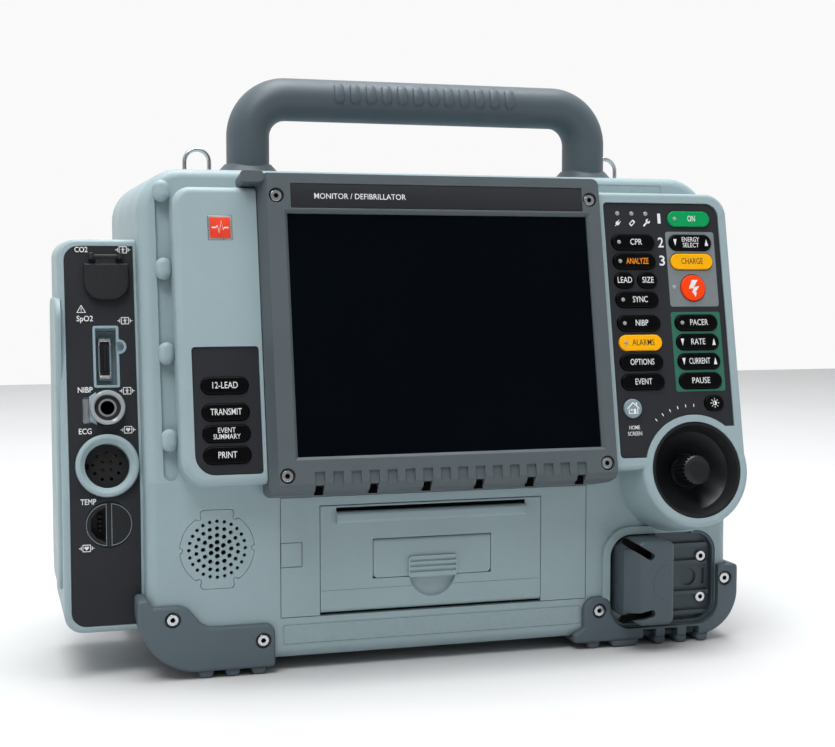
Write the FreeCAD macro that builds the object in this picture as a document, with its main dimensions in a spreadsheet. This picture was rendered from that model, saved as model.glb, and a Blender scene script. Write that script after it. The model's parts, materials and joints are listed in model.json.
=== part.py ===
import FreeCAD, Part
import math
import os
import Sketcher
from FreeCAD import Placement, Rotation, Vector

# A portable monitor and defibrillator, built as the separate pieces it comes apart into.
#
# Millimetres, +Z up. The front faces -Y, the middle of the footprint is the origin and
# the feet stand on Z = 0. The lower front is upright; above it the front leans back.

DIMENSIONS = {
    # places of the three front planes
    "face_out": 84,
    "slope_out": 112.8,
    "slope_rise": 100.6,
    "tilt_deg": 11,
    "slope_run": 0.19438,
    "base_depth": 27,
    "seat_gap": 0.02,
    "break_rise": 107.3,
    "port_out": 69,
    "port_break": 97,
    # case shells
    "case_left": -153,
    "case_right": 192,
    "case_bottom": 7,
    "case_top": 277,
    "case_seam": 10,
    "case_back": 112,
    "case_wall": 3,
    "top_round": 24,
    "foot_round": 28,
    "edge_round": 6,
    "back_pad": 2.45,
    # report housing and its key panel
    "report_left": -136,
    "report_right": -90.4,
    "report_low": 8.8,
    "report_high": 171.2,
    "report_depth": 10,
    "report_panel_left": -128.4,
    "report_panel_right": -92.6,
    "report_panel_low": 14.3,
    "report_panel_high": 82.7,
    "report_key_across": -111.4,
    "report_key_width": 25.5,
    # control pod
    "pod_left": 108.6,
    "pod_right": 191,
    "pod_low": 8,
    "pod_high": 169.8,
    "pod_depth": 3,
    "panel_left": 112,
    "panel_right": 185,
    "panel_low": 14.7,
    "panel_high": 163.4,
    "panel_shoulder": 31.4,
    "panel_inset": 0.8,
    "panel_thick": 2,
    # keys
    "key_height": 9,
    "key_width": 27,
    "key_proud": 1.2,
    "key_length": 5,
    "key_gap": 0.3,
    "key_flange": 0.8,
    "key_room": 8,
    "pivot_rise": 1.8,
    "left_column": 129.3,
    "right_column": 165.8,
    # dial
    "dial_across": 159,
    "dial_up": 6.4,
    "dial_radius": 27.7,
    "dial_ring": 32.2,
    "lobe_radius": 33,
    "knob_radius": 8.6,
    "shaft_radius": 3,
    # bezel and display
    "bezel_left": -90,
    "bezel_right": 108.2,
    "bezel_low": 1.6,
    "bezel_high": 176.5,
    "bezel_wall": 3,
    "window_left": -75.3,
    "window_right": 100,
    "window_low": 21.5,
    "window_high": 154.5,
    "tab_count": 16,
    "tab_pitch": 10.03,
    "tab_width": 5.6,
    "tab_first": -64,
    # printer
    "printer_left": -80.2,
    "printer_right": 100.2,
    "printer_low": 30,
    "printer_high": 96.2,
    "printer_deep": 60,
    "door_left": -58,
    "door_right": 72,
    "door_high": 91,
    "door_hinge": 33.3,
    "door_thick": 4.4,
    "slot_left": -49,
    "slot_right": 62.4,
    "latch_left": -27.7,
    "latch_right": 41.4,
    "latch_low": 49.2,
    "latch_high": 71,
    "roll_radius": 22,
    "platen_radius": 5,
    # loudspeaker
    "grille_across": -115.2,
    "grille_up": 70,
    "grille_radius": 20.2,
    "grille_pitch": 3.83,
    "grille_notch": 1.6,
    # therapy connector
    "recess_left": 114.8,
    "recess_right": 184,
    "recess_low": 11,
    "recess_high": 66.5,
    "recess_depth": 8,
    "lip_proud": 3,
    # port module
    "port_left": -195.5,
    "port_low": 24.8,
    "port_high": 238,
    "port_back": 16,
    "bulge_left": -197.5,
    "ecg_across": -171.6,
    "ecg_up": 18.7,
    # bumpers
    "bumper_out": 88,
    "bumper_back": 104,
    "bumper_left_edge": -158.5,
    "bumper_right_edge": 197.5,
    "bumper_low": 4,
    "rib_round": 2.8,
    # handle and strap loops
    "handle_left": -86,
    "handle_right": 122.6,
    "handle_back": -22,
    "handle_top": 320,
    "handle_bend": 22,
    "grip_thick": 24.5,
    "grip_deep": 30,
    "loop_wire": 1.3,
    "loop_radius": 7.3,
    # batteries
    "battery_width": 96,
    "battery_high": 100,
    "battery_low": 54,
    "battery_deep": 46,
    "battery_gap": 0.5,
}

doc = FreeCAD.newDocument("defibrillator")
cells = doc.addObject("Spreadsheet::Sheet", "Dims")
nodes = []


class Size:
    """A number that remembers the spreadsheet formula it comes from."""

    def __init__(self, value, formula=None):
        self.value = float(value)
        self.bound = formula is not None
        self.formula = formula if self.bound else f"({float(value):.6g})"

    def _with(self, other, sign, value):
        if self.bound or other.bound:
            return Size(value, f"({self.formula} {sign} {other.formula})")
        return Size(value)

    def __add__(self, other):
        other = size(other)
        return self._with(other, "+", self.value + other.value)

    def __sub__(self, other):
        other = size(other)
        return self._with(other, "-", self.value - other.value)

    def __mul__(self, other):
        other = size(other)
        return self._with(other, "*", self.value * other.value)

    def __truediv__(self, other):
        other = size(other)
        return self._with(other, "/", self.value / other.value)

    def __radd__(self, other):
        return size(other) + self

    def __rsub__(self, other):
        return size(other) - self

    def __rmul__(self, other):
        return size(other) * self

    def __neg__(self):
        return size(0) - self

    def __float__(self):
        return self.value


def size(value):
    """The value as a Size."""
    return value if isinstance(value, Size) else Size(value)


class Dimensions:
    """The spreadsheet's cells, read by name as sizes."""

    def __init__(self, values):
        self.values = values
        for row, (alias, value) in enumerate(values.items(), 1):
            cells.set(f"A{row}", alias)
            cells.set(f"B{row}", str(value))
            cells.setAlias(f"B{row}", alias)

    def __getattr__(self, alias):
        return Size(self.values[alias], f"Dims.{alias}")


D = Dimensions(DIMENSIONS)
doc.recompute()


# ---- places ---------------------------------------------------------------------------

def turned_about_x(degrees):
    """A turn about the X axis."""
    return Rotation(Vector(1, 0, 0), degrees)


TILT = float(D.tilt_deg)
WORLD = Placement()
# X across, Y up, Z out of the upright front
FRONT = Placement(Vector(0, 0, 0), turned_about_x(90))
# X backwards, Y up, Z across: for outlines seen from the side
SIDE = Placement(Vector(0, 0, 0), Rotation(Vector(0, 1, 0), Vector(0, 0, 1), Vector(1, 0, 0), "XYZ"))
# X across, Y up the slope, Z out of the leaning front; the bezel's face is Z = 0
SLOPE = Placement(Vector(0, -float(D.slope_out), float(D.slope_rise)), turned_about_x(90 - TILT))
# the same for the port module's leaning front
PORT = Placement(Vector(0, -float(D.port_out), float(D.port_break)), turned_about_x(90 - TILT))


def shifted(place, across=0, up=0, out=0):
    """A place moved along its own axes."""
    return place.multiply(Placement(Vector(float(across), float(up), float(out)), Rotation()))


# ---- features -------------------------------------------------------------------------

def bind(thing, prop, value):
    """Set a property from the spreadsheet."""
    thing.setExpression(prop, size(value).formula)


def settle(*things):
    """Work out a few objects now, in this order, without touching the rest."""
    for thing in things:
        thing.recompute()


def body(name, place=WORLD):
    made = doc.addObject("PartDesign::Body", name)
    made.Placement = place
    return made


def sketch(owner, level=0, plane="XY_Plane"):
    """A sketch on one of the body's own planes, lifted to a level."""
    drawn = owner.newObject("Sketcher::SketchObject", owner.Name + "_sketch")
    origin = next(item for item in owner.Origin.OriginFeatures if item.Role == plane)
    drawn.AttachmentSupport = (origin, [""])
    drawn.MapMode = "FlatFace"
    bind(drawn, "AttachmentOffset.Base.z", level)
    return drawn


def fix(drawn, kind, value, *where):
    """One driving constraint, bound to its formula."""
    value = size(value)
    number = drawn.addConstraint(Sketcher.Constraint(kind, *where, value.value))
    if value.bound:
        drawn.setExpression(f"Constraints[{number}]", value.formula)


def fix_point(drawn, curve, end, across, up):
    """Hold one end of a curve at a place measured from the sketch's origin."""
    for kind, axis, value in (("DistanceX", -2, across), ("DistanceY", -1, up)):
        if float(value) == 0:
            drawn.addConstraint(Sketcher.Constraint("PointOnObject", curve, end, axis))
        else:
            fix(drawn, kind, value, -1, 1, curve, end)


def outline(drawn, corners):
    """A closed outline of straight edges through the corners."""
    points = [Vector(float(across), float(up), 0) for across, up in corners]
    first = drawn.GeometryCount
    count = len(points)
    for number in range(count):
        drawn.addGeometry(Part.LineSegment(points[number], points[(number + 1) % count]))
    for number in range(count):
        following = first + (number + 1) % count
        drawn.addConstraint(Sketcher.Constraint("Coincident", first + number, 2, following, 1))
    for number, (across, up) in enumerate(corners):
        fix_point(drawn, first + number, 1, across, up)


def circle(drawn, across, up, radius):
    number = drawn.addGeometry(Part.Circle(Vector(float(across), float(up), 0), Vector(0, 0, 1), float(radius)))
    fix_point(drawn, number, 3, across, up)
    fix(drawn, "Radius", radius, number)


def stadium(drawn, across, up, width, height):
    """A slot shape with round ends, or a circle where it is as wide as it is high."""
    if float(width) - float(height) < 0.1:
        circle(drawn, across, up, height / 2)
        return
    radius = height / 2
    left = across - (width - height) / 2
    right = across + (width - height) / 2
    middle = Vector(0, 0, 1)
    first = drawn.GeometryCount
    for centre, start in ((right, -90), (left, 90)):
        ring = Part.Circle(Vector(float(centre), float(up), 0), middle, float(radius))
        begin = math.radians(start)
        drawn.addGeometry(Part.ArcOfCircle(ring, begin, begin + math.pi))
    top = float(up) + float(radius)
    low = float(up) - float(radius)
    drawn.addGeometry(Part.LineSegment(Vector(float(right), top, 0), Vector(float(left), top, 0)))
    drawn.addGeometry(Part.LineSegment(Vector(float(left), low, 0), Vector(float(right), low, 0)))
    for arc, end, line, line_end in ((0, 2, 2, 1), (1, 1, 2, 2), (1, 2, 3, 1), (0, 1, 3, 2)):
        drawn.addConstraint(Sketcher.Constraint("Tangent", first + arc, end, first + line, line_end))
    fix_point(drawn, first, 3, right, up)
    fix_point(drawn, first + 1, 3, left, up)
    fix(drawn, "Radius", radius, first)


def rectangle(left, right, low, high):
    """The corners of a rectangle, from the lower left, anticlockwise."""
    return [(left, low), (right, low), (right, high), (left, high)]


def pad(owner, drawn, length):
    made = owner.newObject("PartDesign::Pad", owner.Name + "_pad")
    made.Profile = drawn
    bind(made, "Length", length)
    settle(drawn, made, owner)
    return made


def pocket(owner, top, bottom, *draw, plane="XY_Plane"):
    """Cut from a level down to a lower one; each draw call adds to the cut's outline."""
    before = owner.Shape.Volume
    drawn = sketch(owner, top, plane)
    for call in draw:
        call(drawn)
    made = owner.newObject("PartDesign::Pocket", owner.Name + "_pocket")
    made.Profile = drawn
    bind(made, "Length", top - size(bottom))
    settle(drawn, made, owner)
    if not owner.Shape.Volume < before - 1e-3:
        raise RuntimeError(f"{made.Name} cuts nothing")


def polygon(corners):
    return lambda drawn: outline(drawn, corners)


def disc(across, up, radius):
    return lambda drawn: circle(drawn, across, up, radius)


def slot(across, up, width, height):
    return lambda drawn: stadium(drawn, across, up, size(width), size(height))


def raise_up(owner, bottom, top, *draw):
    """Add material between two levels."""
    drawn = sketch(owner, bottom)
    for call in draw:
        call(drawn)
    pad(owner, drawn, size(top) - bottom)


def made_of(name, place, bottom, top, *draw):
    """A new body with one raised outline."""
    made = body(name, place)
    raise_up(made, bottom, top, *draw)
    return made


def ends(edge):
    return [vertex.Point for vertex in edge.Vertexes]


def upright(edge):
    """True for an edge along the body's own Z."""
    at = ends(edge)
    return len(at) == 2 and abs(at[0].x - at[1].x) + abs(at[0].y - at[1].y) < 1e-4


def level(height):
    """A test for edges that lie flat at a height."""
    return lambda edge: all(abs(at.z - float(height)) < 1e-4 for at in ends(edge))


def close_to(corners, reach=0.6):
    """A test for upright edges that stand at one of the corners."""
    def test(edge):
        at = ends(edge)[0]
        return upright(edge) and any(
            math.hypot(at.x - float(across), at.y - float(up)) < reach for across, up in corners)
    return test


def dress(owner, kind, amount, test):
    """Round or chamfer the edges that pass a test."""
    base = owner.Tip
    names = [f"Edge{number}" for number, edge in enumerate(base.Shape.Edges, 1) if test(edge)]
    if not names:
        raise RuntimeError(f"no edge of {owner.Name} to dress")
    made = owner.newObject("PartDesign::" + kind, f"{owner.Name}_{kind.lower()}")
    made.Base = (base, names)
    bind(made, "Size" if kind == "Chamfer" else "Radius", amount)
    settle(made, owner)
    if made.State and "Invalid" in made.State or made.Shape.isNull():
        raise RuntimeError(f"{made.Name} failed")


def rounded(owner, radius, test):
    dress(owner, "Fillet", radius, test)
    return owner


def plate(name, place, left, right, low, high, bottom, top, corner=None, edge=None):
    """A rectangular plate, with rounded corners and a rounded front where asked."""
    made = made_of(name, place, bottom, top, polygon(rectangle(left, right, low, high)))
    if corner:
        rounded(made, corner, upright)
    if edge:
        rounded(made, edge, level(top))
    return made


def turned(name, place, profile):
    """A body turned about its own Z from a profile of (radius, height) corners."""
    made = body(name, place)
    drawn = sketch(made, 0, "XZ_Plane")
    outline(drawn, profile)
    turn = made.newObject("PartDesign::Revolution", name + "_turn")
    turn.Profile = drawn
    turn.ReferenceAxis = (drawn, ["V_Axis"])
    turn.Angle = 360
    settle(drawn, turn, made)
    return made


def rod(name, start, direction, radius, length):
    """A round bar from a point along a direction."""
    made = doc.addObject("Part::Cylinder", name)
    made.Placement = Placement(Vector(*(float(part) for part in start)), Rotation(Vector(0, 0, 1), direction))
    bind(made, "Radius", radius)
    bind(made, "Height", length)
    settle(made)
    return made


def joined(name, *pieces):
    made = doc.addObject("Part::MultiFuse", name)
    made.Shapes = list(pieces)
    settle(made)
    return made


def cut(name, base, *tools):
    """The base with every tool taken out of it."""
    made = doc.addObject("Part::Cut", name)
    made.Base = base
    made.Tool = tools[0] if len(tools) == 1 else joined(name + "_tools", *tools)
    settle(made)
    return made


def common(name, first, second):
    made = doc.addObject("Part::Common", name)
    made.Base = first
    made.Tool = second
    settle(made)
    return made


def softened(name, base, radius, test):
    """A boolean's result with some edges rounded; the test sees edges in the row's frame."""
    made = doc.addObject("Part::Fillet", name)
    made.Base = base
    numbers = [number for number, edge in enumerate(base.Shape.Edges, 1) if test(edge)]
    if not numbers:
        raise RuntimeError(f"no edge of {name} to round")
    made.Edges = [(number, float(radius), float(radius)) for number in numbers]
    settle(made)
    return made


def at_level_of(place, height):
    """A test for edges that lie at a height in a place's own frame."""
    back = place.inverse()
    return lambda edge: all(abs(back.multVec(at).z - float(height)) < 1e-3 for at in ends(edge))


def node(name, piece):
    """Mark a finished piece as a sub-part."""
    piece.Label = name
    nodes.append(piece)
    return piece


# ---- keys -----------------------------------------------------------------------------

# name: (column, height up the slope, width, height)
CONTROL_KEYS = {
    "key_on": (D.right_column, 154.2, D.key_width, D.key_height + 0.3),
    "key_cpr": (D.left_column, 140, D.key_width, D.key_height),
    "key_energy": (D.right_column, 140, D.key_width, D.key_height),
    "key_analyze": (D.left_column, 128.7, D.key_width, D.key_height),
    "key_charge": (D.right_column, 128.7, D.key_width, D.key_height + 0.4),
    "key_lead": (D.left_column - 7.3, 117.5, 12.4, D.key_height),
    "key_size": (D.left_column + 7.3, 117.5, 12.4, D.key_height),
    "key_shock": (D.right_column - 0.3, 113, 15.4, 15.4),
    "key_sync": (D.left_column, 106.1, D.key_width, D.key_height),
    "key_nibp": (D.left_column, 92.3, D.key_width, D.key_height),
    "key_pacer": (D.right_column, 92.3, D.key_width, D.key_height),
    "key_alarms": (D.left_column, 80.9, D.key_width, D.key_height + 0.3),
    "key_rate": (D.right_column, 80.9, D.key_width, D.key_height),
    "key_options": (D.left_column, 69.5, D.key_width, D.key_height),
    "key_current": (D.right_column, 69.5, D.key_width, D.key_height),
    "key_event": (D.left_column, 58.1, D.key_width, D.key_height),
    "key_pause": (D.right_column, 58.1, D.key_width, D.key_height),
    "key_brightness": (173.4, 44.8, 12.2, 8.4),
    "key_home": (121.5, 42.9, 11.2, 11.2),
}
REPORT_KEYS = {
    "key_12_lead": 61.9,
    "key_transmit": 47.6,
    "key_summary": 36.1,
    "key_print": 24.6,
}


ROCKERS = ("key_energy", "key_rate", "key_current")
PIVOT_RADIUS = 0.8
PIVOT_LENGTH = 14


def key(name, face, across, up, width, height):
    """A key that stands proud of its panel and is held behind it by a flange."""
    width = size(width)
    height = size(height)
    front = face + D.key_proud
    back = front - D.key_length
    rocks = name in ROCKERS
    made = made_of(f"{name}_cap" if rocks else name, SLOPE, back, front, slot(across, up, width, height))
    rounded(made, 0.7, level(front))
    raise_up(made, back, back + D.key_flange, slot(across, up, width + 2, height + 1.4))
    if rocks:
        made = cut(name, made, pivot_bore(name, across, up, back + D.pivot_rise))
    return node(name, made)


def pivot_bore(name, across, up, depth):
    """The bore for a rocker's pivot pin, upright through the middle of the key."""
    bore = rod(f"{name}_pivot", (0, 0, 0), Vector(0, 0, 1), PIVOT_RADIUS, PIVOT_LENGTH)
    upward = Placement(Vector(), Rotation(Vector(1, 0, 0), -90))
    bore.Placement = shifted(SLOPE, across, up - PIVOT_LENGTH / 2, depth).multiply(upward)
    settle(bore)
    return bore


def control_keys():
    face = -(D.pod_depth + D.panel_inset)
    for name, (across, up, width, height) in CONTROL_KEYS.items():
        key(name, face, across, up, width, height)


def report_keys():
    face = -(D.report_depth + D.panel_inset)
    for name, up in REPORT_KEYS.items():
        key(name, face, D.report_key_across, up, D.report_key_width, D.key_height)


# ---- key panels -----------------------------------------------------------------------

def control_outline(name, top, bottom, spare=0):
    """The key field of the pod: a rectangle with a bite for the dial's ring."""
    made = made_of(name, SLOPE, bottom, top, polygon(rectangle(
        D.panel_left - spare, D.panel_right + spare, D.panel_low - spare, D.panel_high + spare)))
    rounded(made, 8, close_to([(D.panel_right + spare, D.panel_high + spare)]))
    rounded(made, 2.5, close_to([(D.panel_left - spare, D.panel_high + spare),
                                 (D.panel_left - spare, D.panel_low - spare)]))
    pocket(made, top, bottom, disc(D.dial_across, D.dial_up, D.dial_ring - spare))
    pocket(made, top, bottom, polygon(rectangle(
        D.dial_across, D.panel_right + 3, D.panel_low - 4, D.panel_shoulder - spare)))
    return made


def control_panel():
    front = -(D.pod_depth + D.panel_inset)
    made = control_outline("control_panel", front, front - D.panel_thick)
    holes = [slot(across, up, size(width) + 2 * D.key_gap, size(height) + 2 * D.key_gap)
             for across, up, width, height in CONTROL_KEYS.values()]
    pocket(made, front, front - D.panel_thick, *holes)
    return node("control_panel", made)


def report_outline(name, top, bottom, spare=0):
    left = D.report_panel_left - spare
    right = D.report_panel_right + spare
    low = D.report_panel_low - spare
    high = D.report_panel_high + spare
    made = made_of(name, SLOPE, bottom, top, polygon(rectangle(left, right, low, high)))
    rounded(made, 11, close_to([(left, low)]))
    rounded(made, 2, close_to([(right, low), (right, high), (left, high)]))
    return made


def report_panel():
    front = -(D.report_depth + D.panel_inset)
    made = report_outline("report_panel", front, front - D.panel_thick)
    holes = [slot(D.report_key_across, up, D.report_key_width + 2 * D.key_gap, D.key_height + 2 * D.key_gap)
             for up in REPORT_KEYS.values()]
    pocket(made, front, front - D.panel_thick, *holes)
    return node("report_panel", made)


# ---- screws ---------------------------------------------------------------------------

HEAD_RADIUS = 3.3
HEAD_THICK = 2
HEX_RADIUS = 1.5
HEX_FLOOR = 0.6
SHANK_RADIUS = 1.7
SCREW_LENGTH = 12
BEZEL_SCREWS = [(-81, 164.1), (102.4, 164.2), (-81.4, 11.7), (102.4, 12.2)]
BUMPER_SCREWS = [(-140, 33.3), (-90.8, 18.9), (107.9, 22.5), (188.9, 37.4)]
RAIL_SCREWS = [(176.2, 50.2), (176.2, 25.5)]


def screw_places():
    """Where each screw head's seat is: its place and the level of the seat."""
    found = [shifted(SLOPE, across, up, -3) for across, up in BEZEL_SCREWS]
    found += [shifted(FRONT, across, up, D.bumper_out - 2.6) for across, up in BUMPER_SCREWS]
    found += [shifted(FRONT, across, up, D.face_out - D.recess_depth + 3) for across, up in RAIL_SCREWS]
    return found


def case_screws():
    """Ten identical screws, kept as one group of separate solids."""
    made = []
    for number, place in enumerate(screw_places()):
        one = made_of(f"screw_{number}", place, 0, HEAD_THICK, disc(0, 0, HEAD_RADIUS))
        rounded(one, 0.6, level(HEAD_THICK))
        hexagon = [(HEX_RADIUS * math.cos(math.radians(60 * step)), HEX_RADIUS * math.sin(math.radians(60 * step)))
                   for step in range(6)]
        pocket(one, HEAD_THICK, HEX_FLOOR, polygon(hexagon))
        raise_up(one, -SCREW_LENGTH, 0, disc(0, 0, SHANK_RADIUS))
        made.append(one)
    group = doc.addObject("Part::Compound", "case_screws")
    group.Links = made
    settle(group)
    return node("case_screws", group)


def screw_holes(name, places):
    """A clearance hole for each screw's shank, as one tool."""
    tools = [made_of(f"{name}_{number}", place, -SCREW_LENGTH - 2, 0.5, disc(0, 0, SHANK_RADIUS + 0.2))
             for number, place in enumerate(places)]
    return joined(name, *tools)


# ---- case shells ----------------------------------------------------------------------

def case_block(name, spare, back, front):
    """The case's outside, grown by spare, between two levels out of the origin."""
    corners = rectangle(D.case_left - spare, D.case_right + spare, D.case_bottom - spare, D.case_top + spare)
    made = made_of(name, FRONT, back, front, polygon(corners))
    rounded(made, D.top_round + spare, close_to(corners[2:]))
    rounded(made, D.foot_round + spare, close_to(corners[:2]))
    return made


def lean(name, depth):
    """All that lies in front of the leaning plane at a depth behind the bezel's face."""
    high = 300
    inset = depth - D.base_depth
    out = D.face_out - inset
    foot = D.break_rise
    corners = [(-out, foot), (-out + D.slope_run * (high - foot), high), (-out - 40, high), (-out - 40, foot)]
    return made_of(name, SIDE, -220, 220, polygon(corners))


def front_block():
    """The front half's solid outside, with its front edges rounded."""
    leaned = cut("front_leaned", case_block("front_outside", 0, -D.case_seam, D.face_out),
                 lean("front_lean", D.base_depth))
    upright_front = at_level_of(FRONT, float(D.face_out))

    def rim(edge):
        middle = edge.valueAt((edge.FirstParameter + edge.LastParameter) / 2)
        crease = all(abs(at.z - float(D.break_rise)) < 0.2 for at in ends(edge)) and abs(middle.x) < 100
        return not crease and (upright_front(edge) or at_slope(edge))

    def at_slope(edge):
        back = SLOPE.inverse()
        return all(abs(back.multVec(at).z + float(D.base_depth)) < 0.3 for at in ends(edge))

    return softened("front_softened", leaned, D.edge_round, rim)


def report_housing():
    made = made_of("report_housing", SLOPE, -D.base_depth - 2, -D.report_depth, polygon(
        rectangle(D.report_left, D.report_right, D.report_low, D.report_high)))
    rounded(made, 14, close_to([(D.report_left, D.report_low)]))
    rounded(made, 10, close_to([(D.report_left, D.report_high)]))
    right = float(D.report_right)
    rounded(made, 4, lambda edge: level(-D.report_depth)(edge)
            and not all(abs(at.x - right) < 1e-4 for at in ends(edge)))
    return made


def control_pod():
    """The raised block of the key field, with a round lobe for the dial that flares at its root."""
    front = -D.pod_depth
    block = made_of("pod_block", SLOPE, -D.base_depth - 2, front, polygon(
        rectangle(D.pod_left, D.pod_right, D.pod_low, D.pod_high)))
    rounded(block, 13, close_to([(D.pod_right, D.pod_high)]))
    rings = []
    for name, across, up, radius, out in (("lobe_front", D.dial_across, D.dial_up, D.lobe_radius, front),
                                          ("lobe_root", D.dial_across - 3, D.dial_up + 1.4,
                                           D.lobe_radius + 3.2, front - 32)):
        ring = doc.addObject("Part::Circle", name)
        ring.Placement = shifted(SLOPE, across, up, out)
        bind(ring, "Radius", radius)
        rings.append(ring)
    lobe = doc.addObject("Part::Loft", "pod_lobe")
    lobe.Sections = rings
    lobe.Solid = True
    settle(*rings, lobe)
    pod = joined("pod", block, lobe)
    left = float(D.pod_left)
    front_level = at_level_of(SLOPE, front)
    return softened("pod_softened", pod, 2.6, lambda edge: front_level(edge)
                    and not all(abs(at.x - left) < 1e-3 for at in ends(edge)))


def recess_outline(name, bottom, top, spare):
    """The therapy connector's recess, grown by spare."""
    return plate(name, FRONT, D.recess_left - spare, D.recess_right + spare,
                 D.recess_low - spare, D.recess_high + spare, bottom, top, corner=13 + spare)


def beside_recess(name, spare, bottom, top):
    """The stretch above and left of the recess, where the case and not the bumper makes its rim."""
    low = 27 - spare
    right = 168 + spare
    return made_of(name, FRONT, bottom, top, polygon([
        (100, low), (130, low), (130, 58), (right, 58), (right, 80), (100, 80)]))


def recess_lip(name, spare):
    face = D.face_out
    ring = recess_outline(f"{name}_ring", face - 1, face + D.lip_proud + spare, 4.5 + spare)
    return common(name, ring, beside_recess(f"{name}_stretch", spare, face - 2, face + D.lip_proud + 2))


def grille_outline(name, spare, bottom, top):
    """A round cover with a broad tab above and below and six small notches in its rim."""
    across = D.grille_across
    up = D.grille_up
    made = made_of(name, FRONT, bottom, top, disc(across, up, D.grille_radius + spare))
    corners = rectangle(across - 9 - spare, across + 9 + spare, up - 21.5 - spare, up + 21.5 + spare)
    raise_up(made, bottom, top, polygon(corners))
    rounded(made, 2, close_to(corners))
    notches = []
    for step in range(6):
        angle = math.radians(60 * step)
        notches.append(disc(across + D.grille_radius * math.cos(angle), up + D.grille_radius * math.sin(angle),
                            D.grille_notch - spare))
    pocket(made, top, bottom, *notches)
    return made


def front_case():
    face = D.face_out
    wall = D.case_wall + 1
    report_front = -D.report_depth
    pod_front = -D.pod_depth
    pieces = [front_block(), report_housing(), control_pod(), recess_lip("recess_lip", 0)]
    for number, up in enumerate((171.5, 128.2, 81.7, 34.7)):
        pieces.append(plate(f"cable_lug_{number}", SLOPE, -144.4, -135.8, up - 6, up + 6,
                            -D.base_depth - 1, -D.base_depth + 6.5, corner=4.2, edge=3.4))
    outside = joined("front_outside_all", *pieces)
    cavity = cut("front_cavity", case_block("front_inside", -D.case_wall, -D.case_seam - 1, face - wall),
                 lean("front_inside_lean", D.base_depth + wall))
    panel_floor = pod_front - D.panel_inset - D.panel_thick
    report_floor = report_front - D.panel_inset - D.panel_thick
    tools = [
        cavity,
        control_outline("panel_seat", pod_front + 1, panel_floor, spare=0.25),
        control_outline("panel_room", panel_floor, panel_floor - D.key_room, spare=-1.6),
        report_outline("report_seat", report_front + 1, report_floor, spare=0.25),
        report_outline("report_room", report_floor, report_floor - D.key_room, spare=-1.6),
        made_of("dial_hole", shifted(SLOPE, D.dial_across, D.dial_up), -48, 2, disc(0, 0, D.dial_radius + 0.3)),
        plate("printer_hole", FRONT, D.printer_left - 0.3, D.printer_right + 0.3, D.printer_low - 0.3,
              D.printer_high + 0.3, face - wall - 1, face + 1),
        grille_outline("grille_seat", 0.25, face - 2.5, face + 1),
        made_of("speaker_hole", FRONT, face - wall - 2, face, disc(D.grille_across, D.grille_up, 17.6)),
        recess_outline("therapy_recess", face - D.recess_depth, face + 10, 0),
        plate("cable_channel", SLOPE, -143.4, -135.6, 13, 174, -D.base_depth - 2, -D.base_depth + 1,
              corner=3.8),
        plate("warning_seat", FRONT, -79.4, 97.6, 14.6, 26.2, face - 0.4, face + 1, corner=1.2),
        plate("badge_seat", SLOPE, -117.5, -104, 141, 155, report_front - 1, report_front + 1, corner=0.8),
        screw_holes("case_holes", screw_places()[len(BEZEL_SCREWS):]),
    ]
    floor = recess_outline("recess_floor", face - D.recess_depth - 3, face - 1, 1.9)
    shell = cut("front_shell", outside, *tools[:1])
    with_floor = joined("front_with_floor", shell, floor)
    return node("front_case", cut("front_case", with_floor, *tools[1:]))


def battery_middle(side):
    return side * (D.battery_width / 2 + 3.5)


def rear_case():
    """The rear shell, with two open wells for the batteries and four pads to lie down on."""
    outside = case_block("rear_outside", 0, -D.case_back, -D.case_seam)
    rounded(outside, 10, level(-D.case_back))
    inside = case_block("rear_inside", -D.case_wall, -D.case_back + D.case_wall, -D.case_seam + 1)
    reach = D.battery_width + 3.5 + 3
    wells = plate("well_walls", FRONT, -reach, reach, D.battery_low - 3, D.battery_low + D.battery_high + 3,
                  -D.case_back + 1, -D.case_back + D.battery_deep + 3, corner=4)
    shell = joined("rear_solid", cut("rear_hollow", outside, inside), wells)
    tools = []
    for name, side in (("left", -1), ("right", 1)):
        half = D.battery_width / 2 + D.battery_gap
        middle = battery_middle(side)
        tools.append(plate(f"{name}_well", FRONT, middle - half, middle + half, D.battery_low - D.battery_gap,
                           D.battery_low + D.battery_high + D.battery_gap, -D.case_back - 1,
                           -D.case_back + D.battery_deep + D.battery_gap, corner=6))
        tools.append(plate(f"{name}_thumb_room", FRONT, middle - 17, middle + 17,
                           D.battery_low + D.battery_high - 1, D.battery_low + D.battery_high + 19,
                           -D.case_back - 1, -D.case_back + 9, corner=5))
    tools.append(plate("connector_seat", FRONT, -40, 40, 182, 212, -D.case_back - 1, -D.case_back + 1.6, corner=4))
    hollow = cut("rear_wells", shell, *tools)
    pads = [made_of(f"rear_pad_{number}", shifted(FRONT, across, up), -D.case_back - D.back_pad,
                    -D.case_back + 1, disc(0, 0, 9))
            for number, (across, up) in enumerate(((-118, 32), (157, 32), (-118, 246), (157, 246)))]
    for one in pads:
        rounded(one, 1.5, level(-D.case_back - D.back_pad))
    return node("rear_case", joined("rear_case", hollow, *pads))


def batteries():
    """Two packs side by side, each with a finger clip at its upper edge."""
    for name, side in (("battery_left", -1), ("battery_right", 1)):
        middle = battery_middle(side)
        half = D.battery_width / 2
        back = -D.case_back
        made = plate(name, FRONT, middle - half, middle + half, D.battery_low, D.battery_low + D.battery_high,
                     back, back + D.battery_deep, corner=5.5)
        rounded(made, 1.5, level(back))
        high = D.battery_low + D.battery_high
        raise_up(made, back, back + 3, polygon(rectangle(middle - 14, middle + 14, high - 4, high + 12)))
        pocket(made, back + D.battery_deep, back + D.battery_deep - 4,
               *[polygon(rectangle(middle + step - 2, middle + step + 2, D.battery_low + 12, D.battery_low + 24))
                 for step in (-18, -6, 6, 18)])
        node(name, made)


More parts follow.
